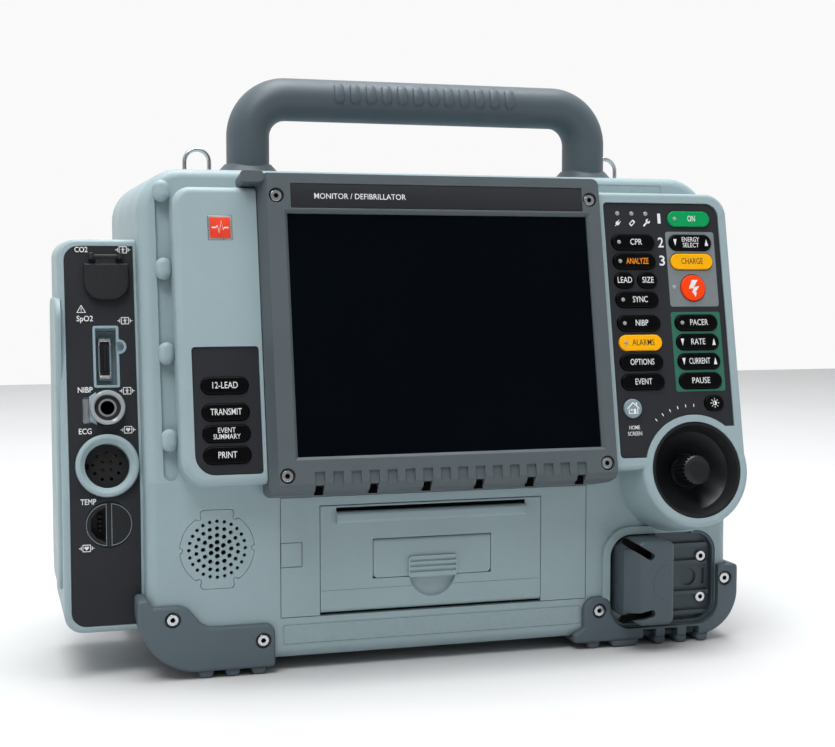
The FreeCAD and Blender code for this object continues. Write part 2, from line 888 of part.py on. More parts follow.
# ---- bezel and display ----------------------------------------------------------------

def display_bezel():
    low = D.bezel_low
    made = made_of("bezel_frame", SLOPE, -D.base_depth + D.seat_gap, 0, polygon(
        rectangle(D.bezel_left, D.bezel_right, low, D.bezel_high)))
    rounded(made, 4, upright)
    deep = D.base_depth + 1
    pocket(made, -D.bezel_wall, -deep, polygon(rectangle(-80, 105, 17, 159)))
    pocket(made, 0, -D.bezel_wall, polygon(
        rectangle(D.window_left, D.window_right, D.window_low, D.window_high)))
    window = (float(D.window_left) - 0.1, float(D.window_right) + 0.1, float(D.window_low) - 0.1)
    dress(made, "Chamfer", 1.6, lambda edge: level(0)(edge)
          and all(window[0] < at.x < window[1] and at.y > window[2] and at.y < 155 for at in ends(edge)))
    # the left flank leans, and the chin rolls under
    pocket(made, -low + 3, -200, polygon([(D.bezel_left - 2, -12), (D.bezel_left, -10),
                                          (D.bezel_left + 3.8, 0), (D.bezel_left + 3.8, 2),
                                          (D.bezel_left - 2, 2)]), plane="XZ_Plane")
    pocket(made, 130, -130, polygon([(low - 2, -9), (low, -8), (low + 1.8, -3.2), (low + 5.4, 0),
                                     (low + 5.4, 2), (low - 2, 2)]), plane="YZ_Plane")
    pocket(made, 0, -0.7, polygon(rectangle(-73.2, 97.6, 157.2, 171)))
    tabs = []
    vents = []
    for number in range(int(D.tab_count.value)):
        middle = D.tab_first + number * D.tab_pitch
        tabs.append(polygon(rectangle(middle - D.tab_width / 2, middle + D.tab_width / 2, low + 2.6, 13.3)))
        if number % 3 == 0:
            vents.append(polygon(rectangle(middle - 2.4, middle + 2.4, low - 1, low + 4.6)))
    pocket(made, 0.5, -1.1, *tabs)
    pocket(made, 0.5, -7, *vents)
    pocket(made, 0, -3, *[disc(across, up, 4.2) for across, up in BEZEL_SCREWS])
    pocket(made, -3, -3 - SCREW_LENGTH - 1, *[disc(across, up, SHANK_RADIUS + 0.2) for across, up in BEZEL_SCREWS])
    ear = plate("bezel_ear", SLOPE, -100, D.bezel_left + 3, 171.8, 178.2, -D.report_depth - 8, -2, corner=2.4)
    return node("display_bezel", joined("display_bezel", made, ear))


def display():
    window = plate("display_window", SLOPE, -79, 104, 18, 158, -D.bezel_wall - 2, -D.bezel_wall, corner=2)
    node("display_window", window)
    module = plate("display_module", SLOPE, -77, 100, 19.5, 156.5, -D.bezel_wall - 15,
                   -D.bezel_wall - 2.2, corner=3)
    pocket(module, -D.bezel_wall - 12, -D.bezel_wall - 16,
           polygon(rectangle(-60, -10, 40, 130)), polygon(rectangle(20, 85, 40, 130)))
    node("display_module", module)


# ---- dial -----------------------------------------------------------------------------

def dial():
    place = shifted(SLOPE, D.dial_across, D.dial_up)
    outer = D.dial_radius
    bowl = turned("dial_bowl", place, [
        (D.shaft_radius + 0.4, -21), (8.5, -21), (11, -20.2), (15, -17), (22.6, -9.4), (25.4, -4.8), (26.2, -3.4),
        (outer, -3.4), (outer, -9), (24.4, -11), (16, -19.4), (12, -23), (D.shaft_radius + 0.4, -23)])
    node("dial_bowl", bowl)
    grip = D.knob_radius
    knob = turned("dial_knob", place, [
        (0, -14), (D.shaft_radius + 0.05, -14), (D.shaft_radius + 0.05, -19), (grip + 0.8, -19),
        (grip + 0.8, -17.6), (grip, -16.8), (grip, -3.6), (grip - 1.2, -2.4), (grip - 3.4, -2.8), (0, -2.8)])
    teeth = 24
    angles = [2 * math.pi * number / teeth for number in range(teeth)]
    pocket(knob, -2, -16, *[disc((grip + 0.3) * math.cos(angle), (grip + 0.3) * math.sin(angle), 0.9)
                            for angle in angles])
    node("dial_knob", knob)
    shaft = made_of("dial_shaft", place, -38, -14, disc(0, 0, D.shaft_radius))
    raise_up(shaft, -29, -25.5, disc(0, 0, 6))
    node("dial_shaft", shaft)


# ---- printer --------------------------------------------------------------------------

def printer_frame():
    face = D.face_out
    made = plate("printer_box", FRONT, D.printer_left, D.printer_right, D.printer_low, D.printer_high,
                 face - D.printer_deep, face)
    recess = D.door_thick + 0.5
    gap = 0.4
    pocket(made, face, face - recess, polygon(rectangle(
        D.door_left - gap, D.door_right + gap, D.printer_low - 1, D.door_high + gap)))
    pocket(made, face - recess, face - D.printer_deep + 4,
           polygon(rectangle(-55, 69, 36.5, 87.5)))
    tools = [
        rod("door_pin_hole", (D.door_left - 3.2, -(face - D.door_thick / 2), D.door_hinge), Vector(1, 0, 0),
            1.55, D.door_right - D.door_left + 6.4),
        rod("platen_pin_hole", (-57.5, -(face - 13), 80.5), Vector(1, 0, 0), 2.05, 129),
        plate("left_tab_seat", FRONT, D.printer_left - 1, -68.5, 58, 71.2, face - 0.35, face + 1),
        plate("fold_room", FRONT, D.door_left - gap, D.door_right + gap, D.printer_low - 1, 39,
              face - recess - 1.2, face - recess + 1),
    ]
    return node("printer_frame", cut("printer_frame", made, *tools))


def printer_door():
    face = D.face_out
    back = face - D.door_thick
    foot = D.door_hinge
    radius = D.door_thick / 2
    made = made_of("door_plate", FRONT, back, face, polygon(
        rectangle(D.door_left, D.door_right, foot, D.door_high)))
    rounded(made, 0.6, lambda edge: level(face)(edge) and all(at.y > float(foot) + 1 for at in ends(edge)))
    pocket(made, face, back, polygon(rectangle(D.slot_left, D.slot_right, 87.6, 89.8)))
    pocket(made, face, back, polygon(rectangle(
        D.latch_left - 0.4, D.latch_right + 0.4, D.latch_low - 0.4, D.latch_high + 0.4)))
    pocket(made, face, face - 2.6, disc(6.8, 50.6, 13.6))
    lip = plate("door_lip", FRONT, D.slot_left, D.slot_right, 81, 87.6, face - 1, face + 2.6)
    rounded(lip, 2, lambda edge: level(face + 2.6)(edge) and abs(ends(edge)[0].y - ends(edge)[1].y) < 1e-4)
    roll = rod("door_foot", (D.door_left, -(face - radius), foot), Vector(1, 0, 0), radius,
               D.door_right - D.door_left)
    pins = rod("door_pins", (D.door_left - 3, -(face - radius), foot), Vector(1, 0, 0), 1.5,
               D.door_right - D.door_left + 6)
    latch_pins = rod("latch_pin_hole", (D.latch_left - 2.2, -(face - 1.9), D.latch_high - 1.9), Vector(1, 0, 0),
                     1.05, D.latch_right - D.latch_left + 4.4)
    return node("printer_door", cut("printer_door", joined("door_solid", made, lip, roll, pins), latch_pins))


def printer_latch():
    face = D.face_out
    hinge = D.latch_high - 1.9
    made = made_of("latch_plate", FRONT, face - 3.8, face, polygon(
        rectangle(D.latch_left, D.latch_right, D.latch_low, hinge)))
    rounded(made, 2.4, close_to([(D.latch_left, D.latch_low), (D.latch_right, D.latch_low)]))
    grip = plate("latch_grip", FRONT, -7.6, 21.2, 48.6, 60.6, face - 1, face + 1.6, corner=2)
    pocket(grip, face + 1.6, face + 0.7, *[polygon(rectangle(-6.6, 20.2, up, up + 1.3)) for up in (51.4, 54.4, 57.4)])
    knuckle = rod("latch_knuckle", (D.latch_left, -(face - 1.9), hinge), Vector(1, 0, 0), 1.9,
                  D.latch_right - D.latch_left)
    pins = rod("latch_pins", (D.latch_left - 2, -(face - 1.9), hinge), Vector(1, 0, 0), 1,
               D.latch_right - D.latch_left + 4)
    return node("printer_latch", joined("printer_latch", made, grip, knuckle, pins))


def printer_rollers():
    face = D.face_out
    roll = rod("paper_solid", (-47, -(face - 33), 61.6), Vector(1, 0, 0), D.roll_radius, 108)
    core = rod("paper_core", (-48, -(face - 33), 61.6), Vector(1, 0, 0), 6.5, 110)
    node("paper_roll", cut("paper_roll", roll, core))
    platen = rod("platen_rubber", (-54, -(face - 13), 80.5), Vector(1, 0, 0), D.platen_radius, 122)
    pins = rod("platen_pins", (-57.3, -(face - 13), 80.5), Vector(1, 0, 0), 2, 128.6)
    node("platen_roller", joined("platen_roller", platen, pins))


# ---- loudspeaker ----------------------------------------------------------------------

def speaker():
    face = D.face_out
    cover = grille_outline("speaker_grille", 0, face - 2.5, face)
    holes = [disc(D.grille_across, D.grille_up, 1.5)]
    for ring in (1, 2, 3, 4):
        for step in range(6 * ring):
            angle = math.radians(90) + 2 * math.pi * step / (6 * ring)
            reach = ring * D.grille_pitch
            holes.append(disc(D.grille_across + reach * math.cos(angle), D.grille_up + reach * math.sin(angle),
                              1.5 - 0.13 * ring))
    pocket(cover, face, face - 2.5, *holes)
    node("speaker_grille", cover)
    place = shifted(FRONT, D.grille_across, D.grille_up)
    driver = turned("speaker_driver", place, [
        (0, 58), (11, 58), (11, 66), (14, 68), (19.5, 75), (22, 75), (22, 79), (16, 79), (8, 71), (0, 71)])
    node("speaker_driver", driver)


# ---- therapy connector ----------------------------------------------------------------

def therapy_connector():
    floor = D.face_out - D.recess_depth
    top = floor + 3
    rail = plate("rail_plate", FRONT, 147, 190, 12, 66, floor, top)
    for low, high in ((56, 58.6), (45.6, 48.2), (27.4, 29.8), (15.6, 18)):
        raise_up(rail, top, top + 2.8, polygon(rectangle(147, 179.5 if low > 40 else 181, low, high)))
    pocket(rail, top, top - 1.6, disc(168.6, 37.6, 5.2), polygon(rectangle(177.6, 179.4, 33, 42.4)))
    pocket(rail, top + 2.8, top, *[disc(across, up, HEAD_RADIUS + 0.3) for across, up in RAIL_SCREWS])
    pocket(rail, top, floor, *[disc(across, up, SHANK_RADIUS + 0.2) for across, up in RAIL_SCREWS])
    rim = D.face_out - 0.3
    skirt = cut("rail_skirt", recess_outline("skirt_outside", floor, rim, -0.3),
                recess_outline("skirt_inside", floor - 1, rim + 1, -1.9),
                beside_recess("skirt_room", 0, floor - 1, rim + 1))
    rail_room = recess_outline("rail_room", floor - 1, top + 5, -0.3)
    node("therapy_rail", joined("therapy_rail", common("rail_trimmed", rail, rail_room), skirt))
    face = D.bumper_out + 20
    block = made_of("therapy_block", FRONT, floor, face, polygon(
        [(118, 22), (126, 16.6), (146, 16.6), (146, 65.6), (126, 65.6), (118, 60)]))
    rounded(block, 4, close_to([(146, 16.6), (146, 65.6), (126, 16.6), (126, 65.6)]))
    pocket(block, -14, -80, polygon([(116, face - 9), (118, face - 9), (125, face), (125, face + 2),
                                     (116, face + 2)]), plane="XZ_Plane")
    rounded(block, 2.5, level(face))
    tools = []
    for name, up, lean_deg in (("upper", 60, -32), ("lower", 22.4, 12)):
        place = shifted(FRONT, 126, up, face - 7).multiply(Placement(Vector(), Rotation(Vector(0, 0, 1), lean_deg)))
        tools.append(plate(f"{name}_latch_slot", place, -12, 8, -2.2, 2.2, 0, 9, corner=2))
    for number, up in enumerate((50, 33)):
        tools.append(rod(f"contact_{number}", (132, -(face - 16), up), Vector(1, 0, 0), 4.2, 16))
    node("therapy_socket", cut("therapy_socket", block, *tools))


# ---- port module ----------------------------------------------------------------------

def port_lean(name, depth):
    """All that lies in front of the port module's front at a depth."""
    high = 260
    out = D.port_out - depth
    foot = D.port_break
    corners = [(-out, foot), (-out + D.slope_run * (high - foot), high), (-out - 40, high), (-out - 40, foot)]
    return made_of(name, SIDE, -220, -140, polygon(corners))


def port_block(name, inset, depth, back, right):
    """The module's outside, drawn in by inset and set back by depth."""
    left = D.port_left + inset
    corners = rectangle(left, right, D.port_low + inset, D.port_high - inset)
    block = made_of(name, FRONT, back, D.port_out - depth, polygon(corners))
    rounded(block, 10 - size(inset) / 2, close_to([corners[0], corners[3]]))
    return cut(name + "_leaned", block, port_lean(name + "_lean", depth))


SPO2 = (-177.5, -163.5, 61.2, 95.4)
NIBP = (-170.8, 50)
TEMP = (-171.4, 83.8)


def port_sockets(name, spare):
    """What the sockets need out of the panel and the module's front."""
    left, right, low, high = SPO2
    place = shifted(FRONT, TEMP[0], TEMP[1])
    return joined(
        name,
        plate(name + "_spo2", PORT, left - spare, right + spare, low - spare, high + spare, -20, 6, corner=1.2),
        made_of(name + "_spo2_bump", PORT, -20, 6, disc(-163.4, 83.7, 4 + spare)),
        made_of(name + "_nibp", PORT, -20, 6, disc(NIBP[0], NIBP[1], 9.6 + spare)),
        plate(name + "_nibp_tab", PORT, -184 - spare, NIBP[0], 42 - spare, 56 + spare, -20, 6, corner=2),
        made_of(name + "_ecg", PORT, -20, 6, disc(D.ecg_across, D.ecg_up, 17 + spare)),
        made_of(name + "_temp", place, D.port_out - 12, D.port_out + 6, disc(0, 0, 12.4 + spare)),
        made_of(name + "_co2", PORT, -20, 6, disc(-169.5, 121, 5.5)),
    )


def port_case():
    right = D.case_left
    outside = port_block("port_outside", 0, 0, -D.port_back, right)
    rim = at_level_of(FRONT, float(D.port_out))
    slope_back = PORT.inverse()

    def front_rim(edge):
        sloped = all(abs(slope_back.multVec(at).z) < 0.2 for at in ends(edge))
        crease = all(abs(at.z - float(D.port_break)) < 0.2 for at in ends(edge))
        at_case = all(abs(at.x - float(D.case_left)) < 1e-3 for at in ends(edge))
        return (rim(edge) or sloped) and not crease and not at_case

    soft = softened("port_softened", outside, 2.5, front_rim)
    bulge = plate("port_bulge", SIDE, -56, 6, 45, 206, D.bulge_left, D.port_left + 1, corner=12)
    rounded(bulge, 1.8, level(D.bulge_left))
    # the panel's seat: a band of the panel's depth behind the upright face and the leaning one
    seat_depth = 1.6
    band_foot = 20
    band_head = 245
    leaned_back = -D.port_out + seat_depth + D.slope_run * (band_head - D.port_break)
    band = made_of("port_seat_band", SIDE, -200, -150, polygon([
        (-80, band_foot), (-D.port_out + seat_depth, band_foot), (-D.port_out + seat_depth, D.port_break),
        (leaned_back, band_head), (-80, band_head)]))
    seat = common("port_seat", port_block("port_seat_far", 3.6, -2, -D.port_back + 5, D.case_left - 1.4), band)
    inside = port_block("port_inside", 3, 5, -D.port_back + 3, right + 1)
    shell = cut("port_shell", joined("port_solid", soft, bulge), inside, seat, port_sockets("case_sockets", 0))
    ring_front = 3.4
    ring_bore = 12.1
    ring = made_of("ecg_ring", shifted(PORT, D.ecg_across, D.ecg_up), -16, ring_front, disc(0, 0, 17))
    rounded(ring, 1.4, level(ring_front))
    pocket(ring, ring_front, -17, disc(0, 0, ring_bore))
    bore_edge = 2 * math.pi * (ring_bore + 0.5)
    dress(ring, "Chamfer", 2.6, lambda edge: level(ring_front)(edge) and edge.Length < bore_edge)
    return node("port_case", joined("port_case", shell, ring))


def co2_bar(name, left, length, radius):
    """A round bar along the gas flap's hinge line."""
    bar = rod(name, (0, 0, 0), Vector(0, 0, 1), radius, length)
    bar.Placement = shifted(PORT, left, 133.4, 2.1).multiply(Placement(Vector(), Rotation(Vector(0, 1, 0), 90)))
    settle(bar)
    return bar


def port_panel():
    skin = common("port_skin", port_block("panel_outside", 3.9, 0.2, -D.port_back + 6, D.case_left - 1.7),
                  made_of("port_skin_band", SIDE, -200, -150, polygon([
                      (-80, 20), (-D.port_out + 1.6, 20), (-D.port_out + 1.6, D.port_break),
                      (-D.port_out + 1.6 + D.slope_run * (245 - D.port_break), 245), (-80, 245)])))
    lugs = [plate(f"co2_lug_{number}", PORT, left, left + 2.4, 131.9, 135.6, -1, 4)
            for number, left in enumerate((-178.6, -163))]
    for lug in lugs:
        rounded(lug, 0.8, level(4))
    solid = joined("port_panel_solid", skin, *lugs)
    pin_hole = co2_bar("co2_pin_hole", -177.8, 16.4, 1.05)
    return node("port_panel", cut("port_panel", solid, port_sockets("panel_sockets", 0.25), pin_hole))


def port_fittings():
    # flap over the breath-gas inlet, hung from a bar at its top
    door = plate("co2_flap", PORT, -181.4, -157.2, 109.3, 129.6, 0.6, 3.4)
    rounded(door, 9.5, close_to([(-181.4, 109.3), (-157.2, 109.3)]))
    rounded(door, 1, level(3.4))
    bar = co2_bar("co2_bar", -175.8, 12.4, 1.5)
    pins = co2_bar("co2_pins", -177.6, 16, 1)
    neck = plate("co2_neck", PORT, -175, -164.2, 129, 133.4, 1.2, 3)
    node("co2_door", joined("co2_door", door, neck, bar, pins))

    left, right, low, high = SPO2
    cup = plate("spo2_socket", PORT, left, right, low, high, -14, 0.2, corner=1.2)
    raise_up(cup, -14, 0.2, disc(-163.4, 83.7, 4))
    pocket(cup, 0.2, -12, polygon(rectangle(left + 1.4, right - 1.4, low + 1.4, high - 1.4)))
    pocket(cup, 0.2, -3, disc(-163.4, 83.7, 2.6))
    raise_up(cup, -12.5, -7.4, polygon(rectangle(-174.3, -167.3, 66, 90)))
    pocket(cup, -7.4, -12, polygon(rectangle(-172.1, -169.5, 69, 87)))
    node("spo2_socket", cup)

    across, up = NIBP
    fitting = made_of("nibp_fitting", PORT, -14, 3.4, disc(across, up, 9.4))
    rounded(fitting, 1.2, level(3.4))
    pocket(fitting, 3.4, 0.6, disc(across, up, 7.4))
    raise_up(fitting, 0, 2.4, disc(across, up, 5.6))
    raise_up(fitting, -14, -3, polygon(rectangle(-183.6, across, 42.4, 55.6)))
    pocket(fitting, 2.4, -12, disc(across, up, 3.8))
    node("nibp_fitting", fitting)
    latch = plate("nibp_latch", PORT, -183.2, -181.6, 45, 53, -2.8, 3, corner=0.5)
    node("nibp_latch", latch)

    ecg = made_of("ecg_socket", shifted(PORT, D.ecg_across, D.ecg_up), -16, -6, disc(0, 0, 11.9))
    pins = [disc(3.1 * math.cos(math.radians(90 * step + 45)), 3.1 * math.sin(math.radians(90 * step + 45)), 0.9)
            for step in range(4)]
    pins += [disc(7.4 * math.cos(math.radians(40 * step + 90)), 7.4 * math.sin(math.radians(40 * step + 90)), 0.9)
             for step in range(9)]
    pocket(ecg, -6, -12, *pins)
    node("ecg_socket", ecg)

    temp_place = shifted(FRONT, TEMP[0], TEMP[1])
    temp = made_of("temp_socket", temp_place, D.port_out - 10, D.port_out + 0.2, disc(0, 0, 12.2))
    pocket(temp, D.port_out + 0.2, D.port_out - 8, polygon(
        [(-1.2, -9.6), (-1.2, 9.6), (-6.4, 7.4), (-9.6, 3), (-9.6, -3), (-6.4, -7.4)]))
    node("temp_socket", temp)


# ---- bumpers --------------------------------------------------------------------------

def rib(name, across, width, back, front):
    """A foot that runs front to back, rounded where it meets the floor."""
    low = D.bumper_low
    half = size(width) / 2
    corners = rectangle(across - half, across + half, 0, low + 0.6)
    made = made_of(name, FRONT, back, front, polygon(corners))
    rounded(made, D.rib_round, close_to(corners[:2]))
    rounded(made, 1.6, level(front))
    return made


def bumpers():
    back = -D.bumper_back
    front = D.bumper_out
    low = D.bumper_low
    keep_clear = case_block("bumper_seat", 0, back - 1, D.face_out)
    left_edge = D.bumper_left_edge
    outer = made_of("bumper_left_solid", FRONT, back, front, polygon([
        (left_edge, low), (-84.2, low), (-84.2, 27.9), (-122.5, 27.9), (-133, 40.6), (-150.5, 40.6),
        (-153.4, 45), (left_edge, 45)]))
    rounded(outer, 33, close_to([(left_edge, low)]))
    rounded(outer, 5, close_to([(-84.2, 27.9)]))
    rounded(outer, 10, close_to([(-122.5, 27.9), (-133, 40.6)]))
    rounded(outer, 2.2, close_to([(-84.2, low), (-153.4, 45), (left_edge, 45)]))
    rounded(outer, 1.8, level(front))
    port_room = plate("bumper_port_room", FRONT, D.port_left - 5, D.case_left + 0.1, D.port_low - 0.4, 60,
                      back - 2, D.port_out + 0.4)
    heads = [made_of(f"bumper_head_{number}", shifted(FRONT, across, up, front - 2.6), 0, 6, disc(0, 0, 4.4))
             for number, (across, up) in enumerate(BUMPER_SCREWS)]
    ribs = [rib(f"left_rib_{number}", across, 8, back, front - 1.5)
            for number, across in enumerate((-122, -107.5, -93))]
    left = cut("bumper_left_cut", outer, keep_clear, port_room, *heads[:2],
               screw_holes("left_bumper_holes", [shifted(FRONT, across, up, front - 2.6)
                                                 for across, up in BUMPER_SCREWS[:2]]))
    node("bumper_left", joined("bumper_left", left, *ribs))

    right_edge = D.bumper_right_edge
    outer = made_of("bumper_right_solid", FRONT, back, front, polygon([
        (92, low), (right_edge, low), (right_edge, 45.5), (180, 45.5), (180, 20), (116.5, 20), (116.5, 30.6),
        (98, 30.6), (98, 13), (92, 9)]))
    rounded(outer, 26, close_to([(right_edge, low)]))
    rounded(outer, 8, close_to([(98, 30.6), (116.5, 30.6)]))
    rounded(outer, 2.2, close_to([(right_edge, 45.5), (92, low), (180, 45.5)]))
    rounded(outer, 1.8, level(front))
    keep_clear = case_block("bumper_seat_right", 0, back - 1, D.face_out)
    mouth = recess_outline("bumper_mouth", D.face_out - 1, front + 2, 0.25)
    lip_room = recess_lip("bumper_lip_room", 0.25)
    hollows = [plate(f"rib_hollow_{number}", FRONT, across, across + 8.4, low - 1, 9.5, front - 7, front + 2)
               for number, across in enumerate((135.6, 149.6, 163.6))]
    ribs = [rib("right_rib_0", 105, 8, back, front - 1.5), rib("right_rib_1", 124.5, 17, back, front - 0.5)]
    ribs += [rib(f"right_rib_{number + 2}", across, 7.2, back, front - 0.5)
             for number, across in enumerate((146.8, 160.8, 174.8))]
    right = cut("bumper_right_cut", outer, keep_clear, mouth, lip_room, *heads[2:], *hollows,
                screw_holes("right_bumper_holes", [shifted(FRONT, across, up, front - 2.6)
                                                   for across, up in BUMPER_SCREWS[2:]]))
    node("bumper_right", joined("bumper_right", right, *ribs))


# ---- handle and strap loops -----------------------------------------------------------

def handle():
    """A tube bent over the case, flattened front to back, on two flared feet."""
    made = body("handle_tube")
    path = sketch(made, -D.handle_back, "XZ_Plane")
    bend = float(D.handle_bend)
    left = float(D.handle_left)
    right = float(D.handle_right)
    top = float(D.handle_top)
    foot = float(D.case_top)
    middle = Vector(0, 0, 1)
    path.addGeometry(Part.LineSegment(Vector(left, foot, 0), Vector(left, top - bend, 0)))
    corner = Part.Circle(Vector(left + bend, top - bend, 0), middle, bend)
    path.addGeometry(Part.ArcOfCircle(corner, math.pi / 2, math.pi))
    path.addGeometry(Part.LineSegment(Vector(left + bend, top, 0), Vector(right - bend, top, 0)))
    corner = Part.Circle(Vector(right - bend, top - bend, 0), middle, bend)
    path.addGeometry(Part.ArcOfCircle(corner, 0, math.pi / 2))
    path.addGeometry(Part.LineSegment(Vector(right, top - bend, 0), Vector(right, foot, 0)))
    for first, end, second, other in ((0, 2, 1, 2), (1, 1, 2, 1), (2, 2, 3, 2), (3, 1, 4, 1)):
        path.addConstraint(Sketcher.Constraint("Tangent", first, end, second, other))
    for curve in (0, 4):
        path.addConstraint(Sketcher.Constraint("Vertical", curve))
    fix(path, "Radius", D.handle_bend, 1)
    fix(path, "Radius", D.handle_bend, 3)
    fix_point(path, 0, 1, D.handle_left, D.case_top)
    fix_point(path, 4, 2, D.handle_right, D.case_top)
    fix(path, "DistanceY", D.handle_top, -1, 1, 2, 1)
    section = sketch(made, D.case_top, "XY_Plane")
    across = D.grip_thick / 2
    deep = D.grip_deep / 2
    centre = Vector(left, float(D.handle_back), 0)
    oval = Part.Ellipse(Vector(left, centre.y + float(deep), 0), Vector(left + float(across), centre.y, 0), centre)
    section.addGeometry(oval)
    section.exposeInternalGeometry(0)
    section.addConstraint(Sketcher.Constraint("Block", 0))
    pipe = made.newObject("PartDesign::AdditivePipe", "handle_pipe")
    pipe.Profile = section
    pipe.Spine = (path, [f"Edge{number}" for number in range(1, 6)])
    pipe.Mode = "Frenet"
    settle(path, section, pipe, made)
    feet = []
    for name, across in (("left", D.handle_left), ("right", D.handle_right)):
        cone = doc.addObject("Part::Cone", f"handle_foot_{name}")
        cone.Placement = Placement(Vector(float(across), float(D.handle_back), float(D.case_top)), Rotation())
        bind(cone, "Radius1", D.grip_deep / 2 + 3)
        bind(cone, "Radius2", D.grip_deep / 2 - 1.5)
        bind(cone, "Height", 5)
        settle(cone)
        feet.append(cone)
    return node("handle", joined("handle", made, *feet))


def strap_loops():
    """Two wire loops that stand beside the handle's feet."""
    radius = D.loop_radius
    legs = 8
    parts = []
    for number, across in enumerate((D.handle_left - 25.8, D.handle_right + 25.8)):
        arch = doc.addObject("Part::Torus", f"loop_arch_{number}")
        arch.Angle3 = 180
        arch.Placement = Placement(Vector(float(across), 4, float(D.case_top) + legs), turned_about_x(90))
        bind(arch, "Radius1", radius)
        bind(arch, "Radius2", D.loop_wire)
        settle(arch)
        stands = [rod(f"loop_leg_{number}_{side}", (float(across) + side * float(radius), 4, float(D.case_top)),
                      Vector(0, 0, 1), D.loop_wire, legs) for side in (-1, 1)]
        parts.append(joined(f"loop_{number}", arch, *stands))
    group = doc.addObject("Part::Compound", "strap_loops")
    group.Links = parts
    settle(group)
    return node("strap_loops", group)


# ---- what the case holds --------------------------------------------------------------

def inner_parts():
    frame = plate("chassis", WORLD, -128, 168, -16, 56, 12, 258)
    pocket(frame, 259, 14, polygon(rectangle(-126, 166, -17, 57)))
    pocket(frame, 230, 200, polygon(rectangle(-130, 170, 0, 40)))
    node("chassis", frame)
    boards = [plate(f"board_{number}", FRONT, -104, 146, 110, 250, -back - 1.6, -back, corner=2)
              for number, back in enumerate((0, 18, 36))]
    group = doc.addObject("Part::Compound", "circuit_boards")
    group.Links = boards
    settle(group)
    node("circuit_boards", group)
    node("shock_capacitor", rod("shock_capacitor", (-60, 18, 50), Vector(1, 0, 0), 30, 96))


def build():
    front_case()
    rear_case()
    display_bezel()
    display()
    control_panel()
    report_panel()
    control_keys()
    report_keys()
    dial()
    printer_frame()
    printer_door()
    printer_latch()
    printer_rollers()
    speaker()
    therapy_connector()
    port_case()
    port_panel()
    port_fittings()
    bumpers()
    handle()
    strap_loops()
    case_screws()
    batteries()
    inner_parts()
    doc.recompute()


def check():
    """Stop if any object failed or a sub-part isn't a sound solid."""
    for thing in doc.Objects:
        if "Invalid" in thing.State or "Error" in thing.State:
            raise RuntimeError(f"{thing.Name} failed: {thing.State}")
    for piece in nodes:
        if piece.Shape.isNull() or not piece.Shape.isValid() or not piece.Shape.Solids:
            raise RuntimeError(f"{piece.Label} is not a sound solid")


def write():
    os.makedirs("parts", exist_ok=True)
    for piece in nodes:
        piece.Shape.exportStep(f"parts/{piece.Label}.step")


build()
check()
write()
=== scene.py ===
"""A portable monitor defibrillator: materials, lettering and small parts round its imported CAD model."""
import json
import math

import bmesh
import bpy
from mathutils import Matrix, Vector


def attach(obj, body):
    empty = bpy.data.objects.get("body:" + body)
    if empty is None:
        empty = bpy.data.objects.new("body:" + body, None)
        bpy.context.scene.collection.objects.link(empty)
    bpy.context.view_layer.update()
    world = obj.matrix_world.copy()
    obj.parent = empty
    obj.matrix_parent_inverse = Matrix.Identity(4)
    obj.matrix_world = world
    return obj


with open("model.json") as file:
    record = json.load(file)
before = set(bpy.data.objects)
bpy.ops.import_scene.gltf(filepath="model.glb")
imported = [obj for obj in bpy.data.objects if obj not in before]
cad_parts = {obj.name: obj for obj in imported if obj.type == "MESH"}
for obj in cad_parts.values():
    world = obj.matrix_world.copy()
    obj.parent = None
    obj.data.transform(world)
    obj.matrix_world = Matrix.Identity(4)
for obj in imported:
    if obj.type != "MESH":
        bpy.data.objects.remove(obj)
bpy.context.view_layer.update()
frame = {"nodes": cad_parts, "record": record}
nodes = frame["nodes"]
record = frame["record"]

MM = 0.001
HOUSING = "housing"

# ---- places -----------------------------------------------------------------------------
# A place is a frame in millimetres: x across, y up the face, z out of it.

TILT = math.radians(11)
QUARTER = math.pi / 2


def leaning(y, z):
    """The display's leaning face, through a point of the middle plane."""
    return Matrix.Translation((0, y, z)) @ Matrix.Rotation(QUARTER - TILT, 4, "X")


def at(place, x, y, z=0, turn=0):
    """The same face, its origin moved and turned in the face."""
    return place @ Matrix.Translation((x, y, z)) @ Matrix.Rotation(turn, 4, "Z")


FRONT = Matrix.Rotation(QUARTER, 4, "X")
BACK = Matrix.Rotation(math.pi, 4, "Z") @ FRONT
SLOPE = leaning(-112.8, 100.6)
PORT = leaning(-69, 97)


def span(node, place=FRONT):
    """A CAD node's lowest and highest corner in a place, in millimetres."""
    back = place.inverted()
    points = [back @ (vertex.co / MM) for vertex in nodes[node].data.vertices]
    low = Vector(min(point[axis] for point in points) for axis in range(3))
    high = Vector(max(point[axis] for point in points) for axis in range(3))
    return low, high


def middle(node, place=FRONT):
    low, high = span(node, place)
    return (low + high) / 2


# ---- outlines ---------------------------------------------------------------------------

def arc(x, y, radius, start, end, steps=8):
    """Points of an arc, its angles in degrees."""
    angles = [math.radians(start + (end - start) * step / steps) for step in range(steps + 1)]
    return [(x + radius * math.cos(angle), y + radius * math.sin(angle)) for angle in angles]


def circle(x, y, radius, steps=40):
    return arc(x, y, radius, 0, 360, steps)[:-1]


def rounded_box(left, right, low, high, radius, steps=6):
    return (arc(right - radius, low + radius, radius, -90, 0, steps)
            + arc(right - radius, high - radius, radius, 0, 90, steps)
            + arc(left + radius, high - radius, radius, 90, 180, steps)
            + arc(left + radius, low + radius, radius, 180, 270, steps))


def stadium(x, y, width, height):
    return rounded_box(x - width / 2, x + width / 2, y - height / 2, y + height / 2, height / 2 - 0.01, 12)


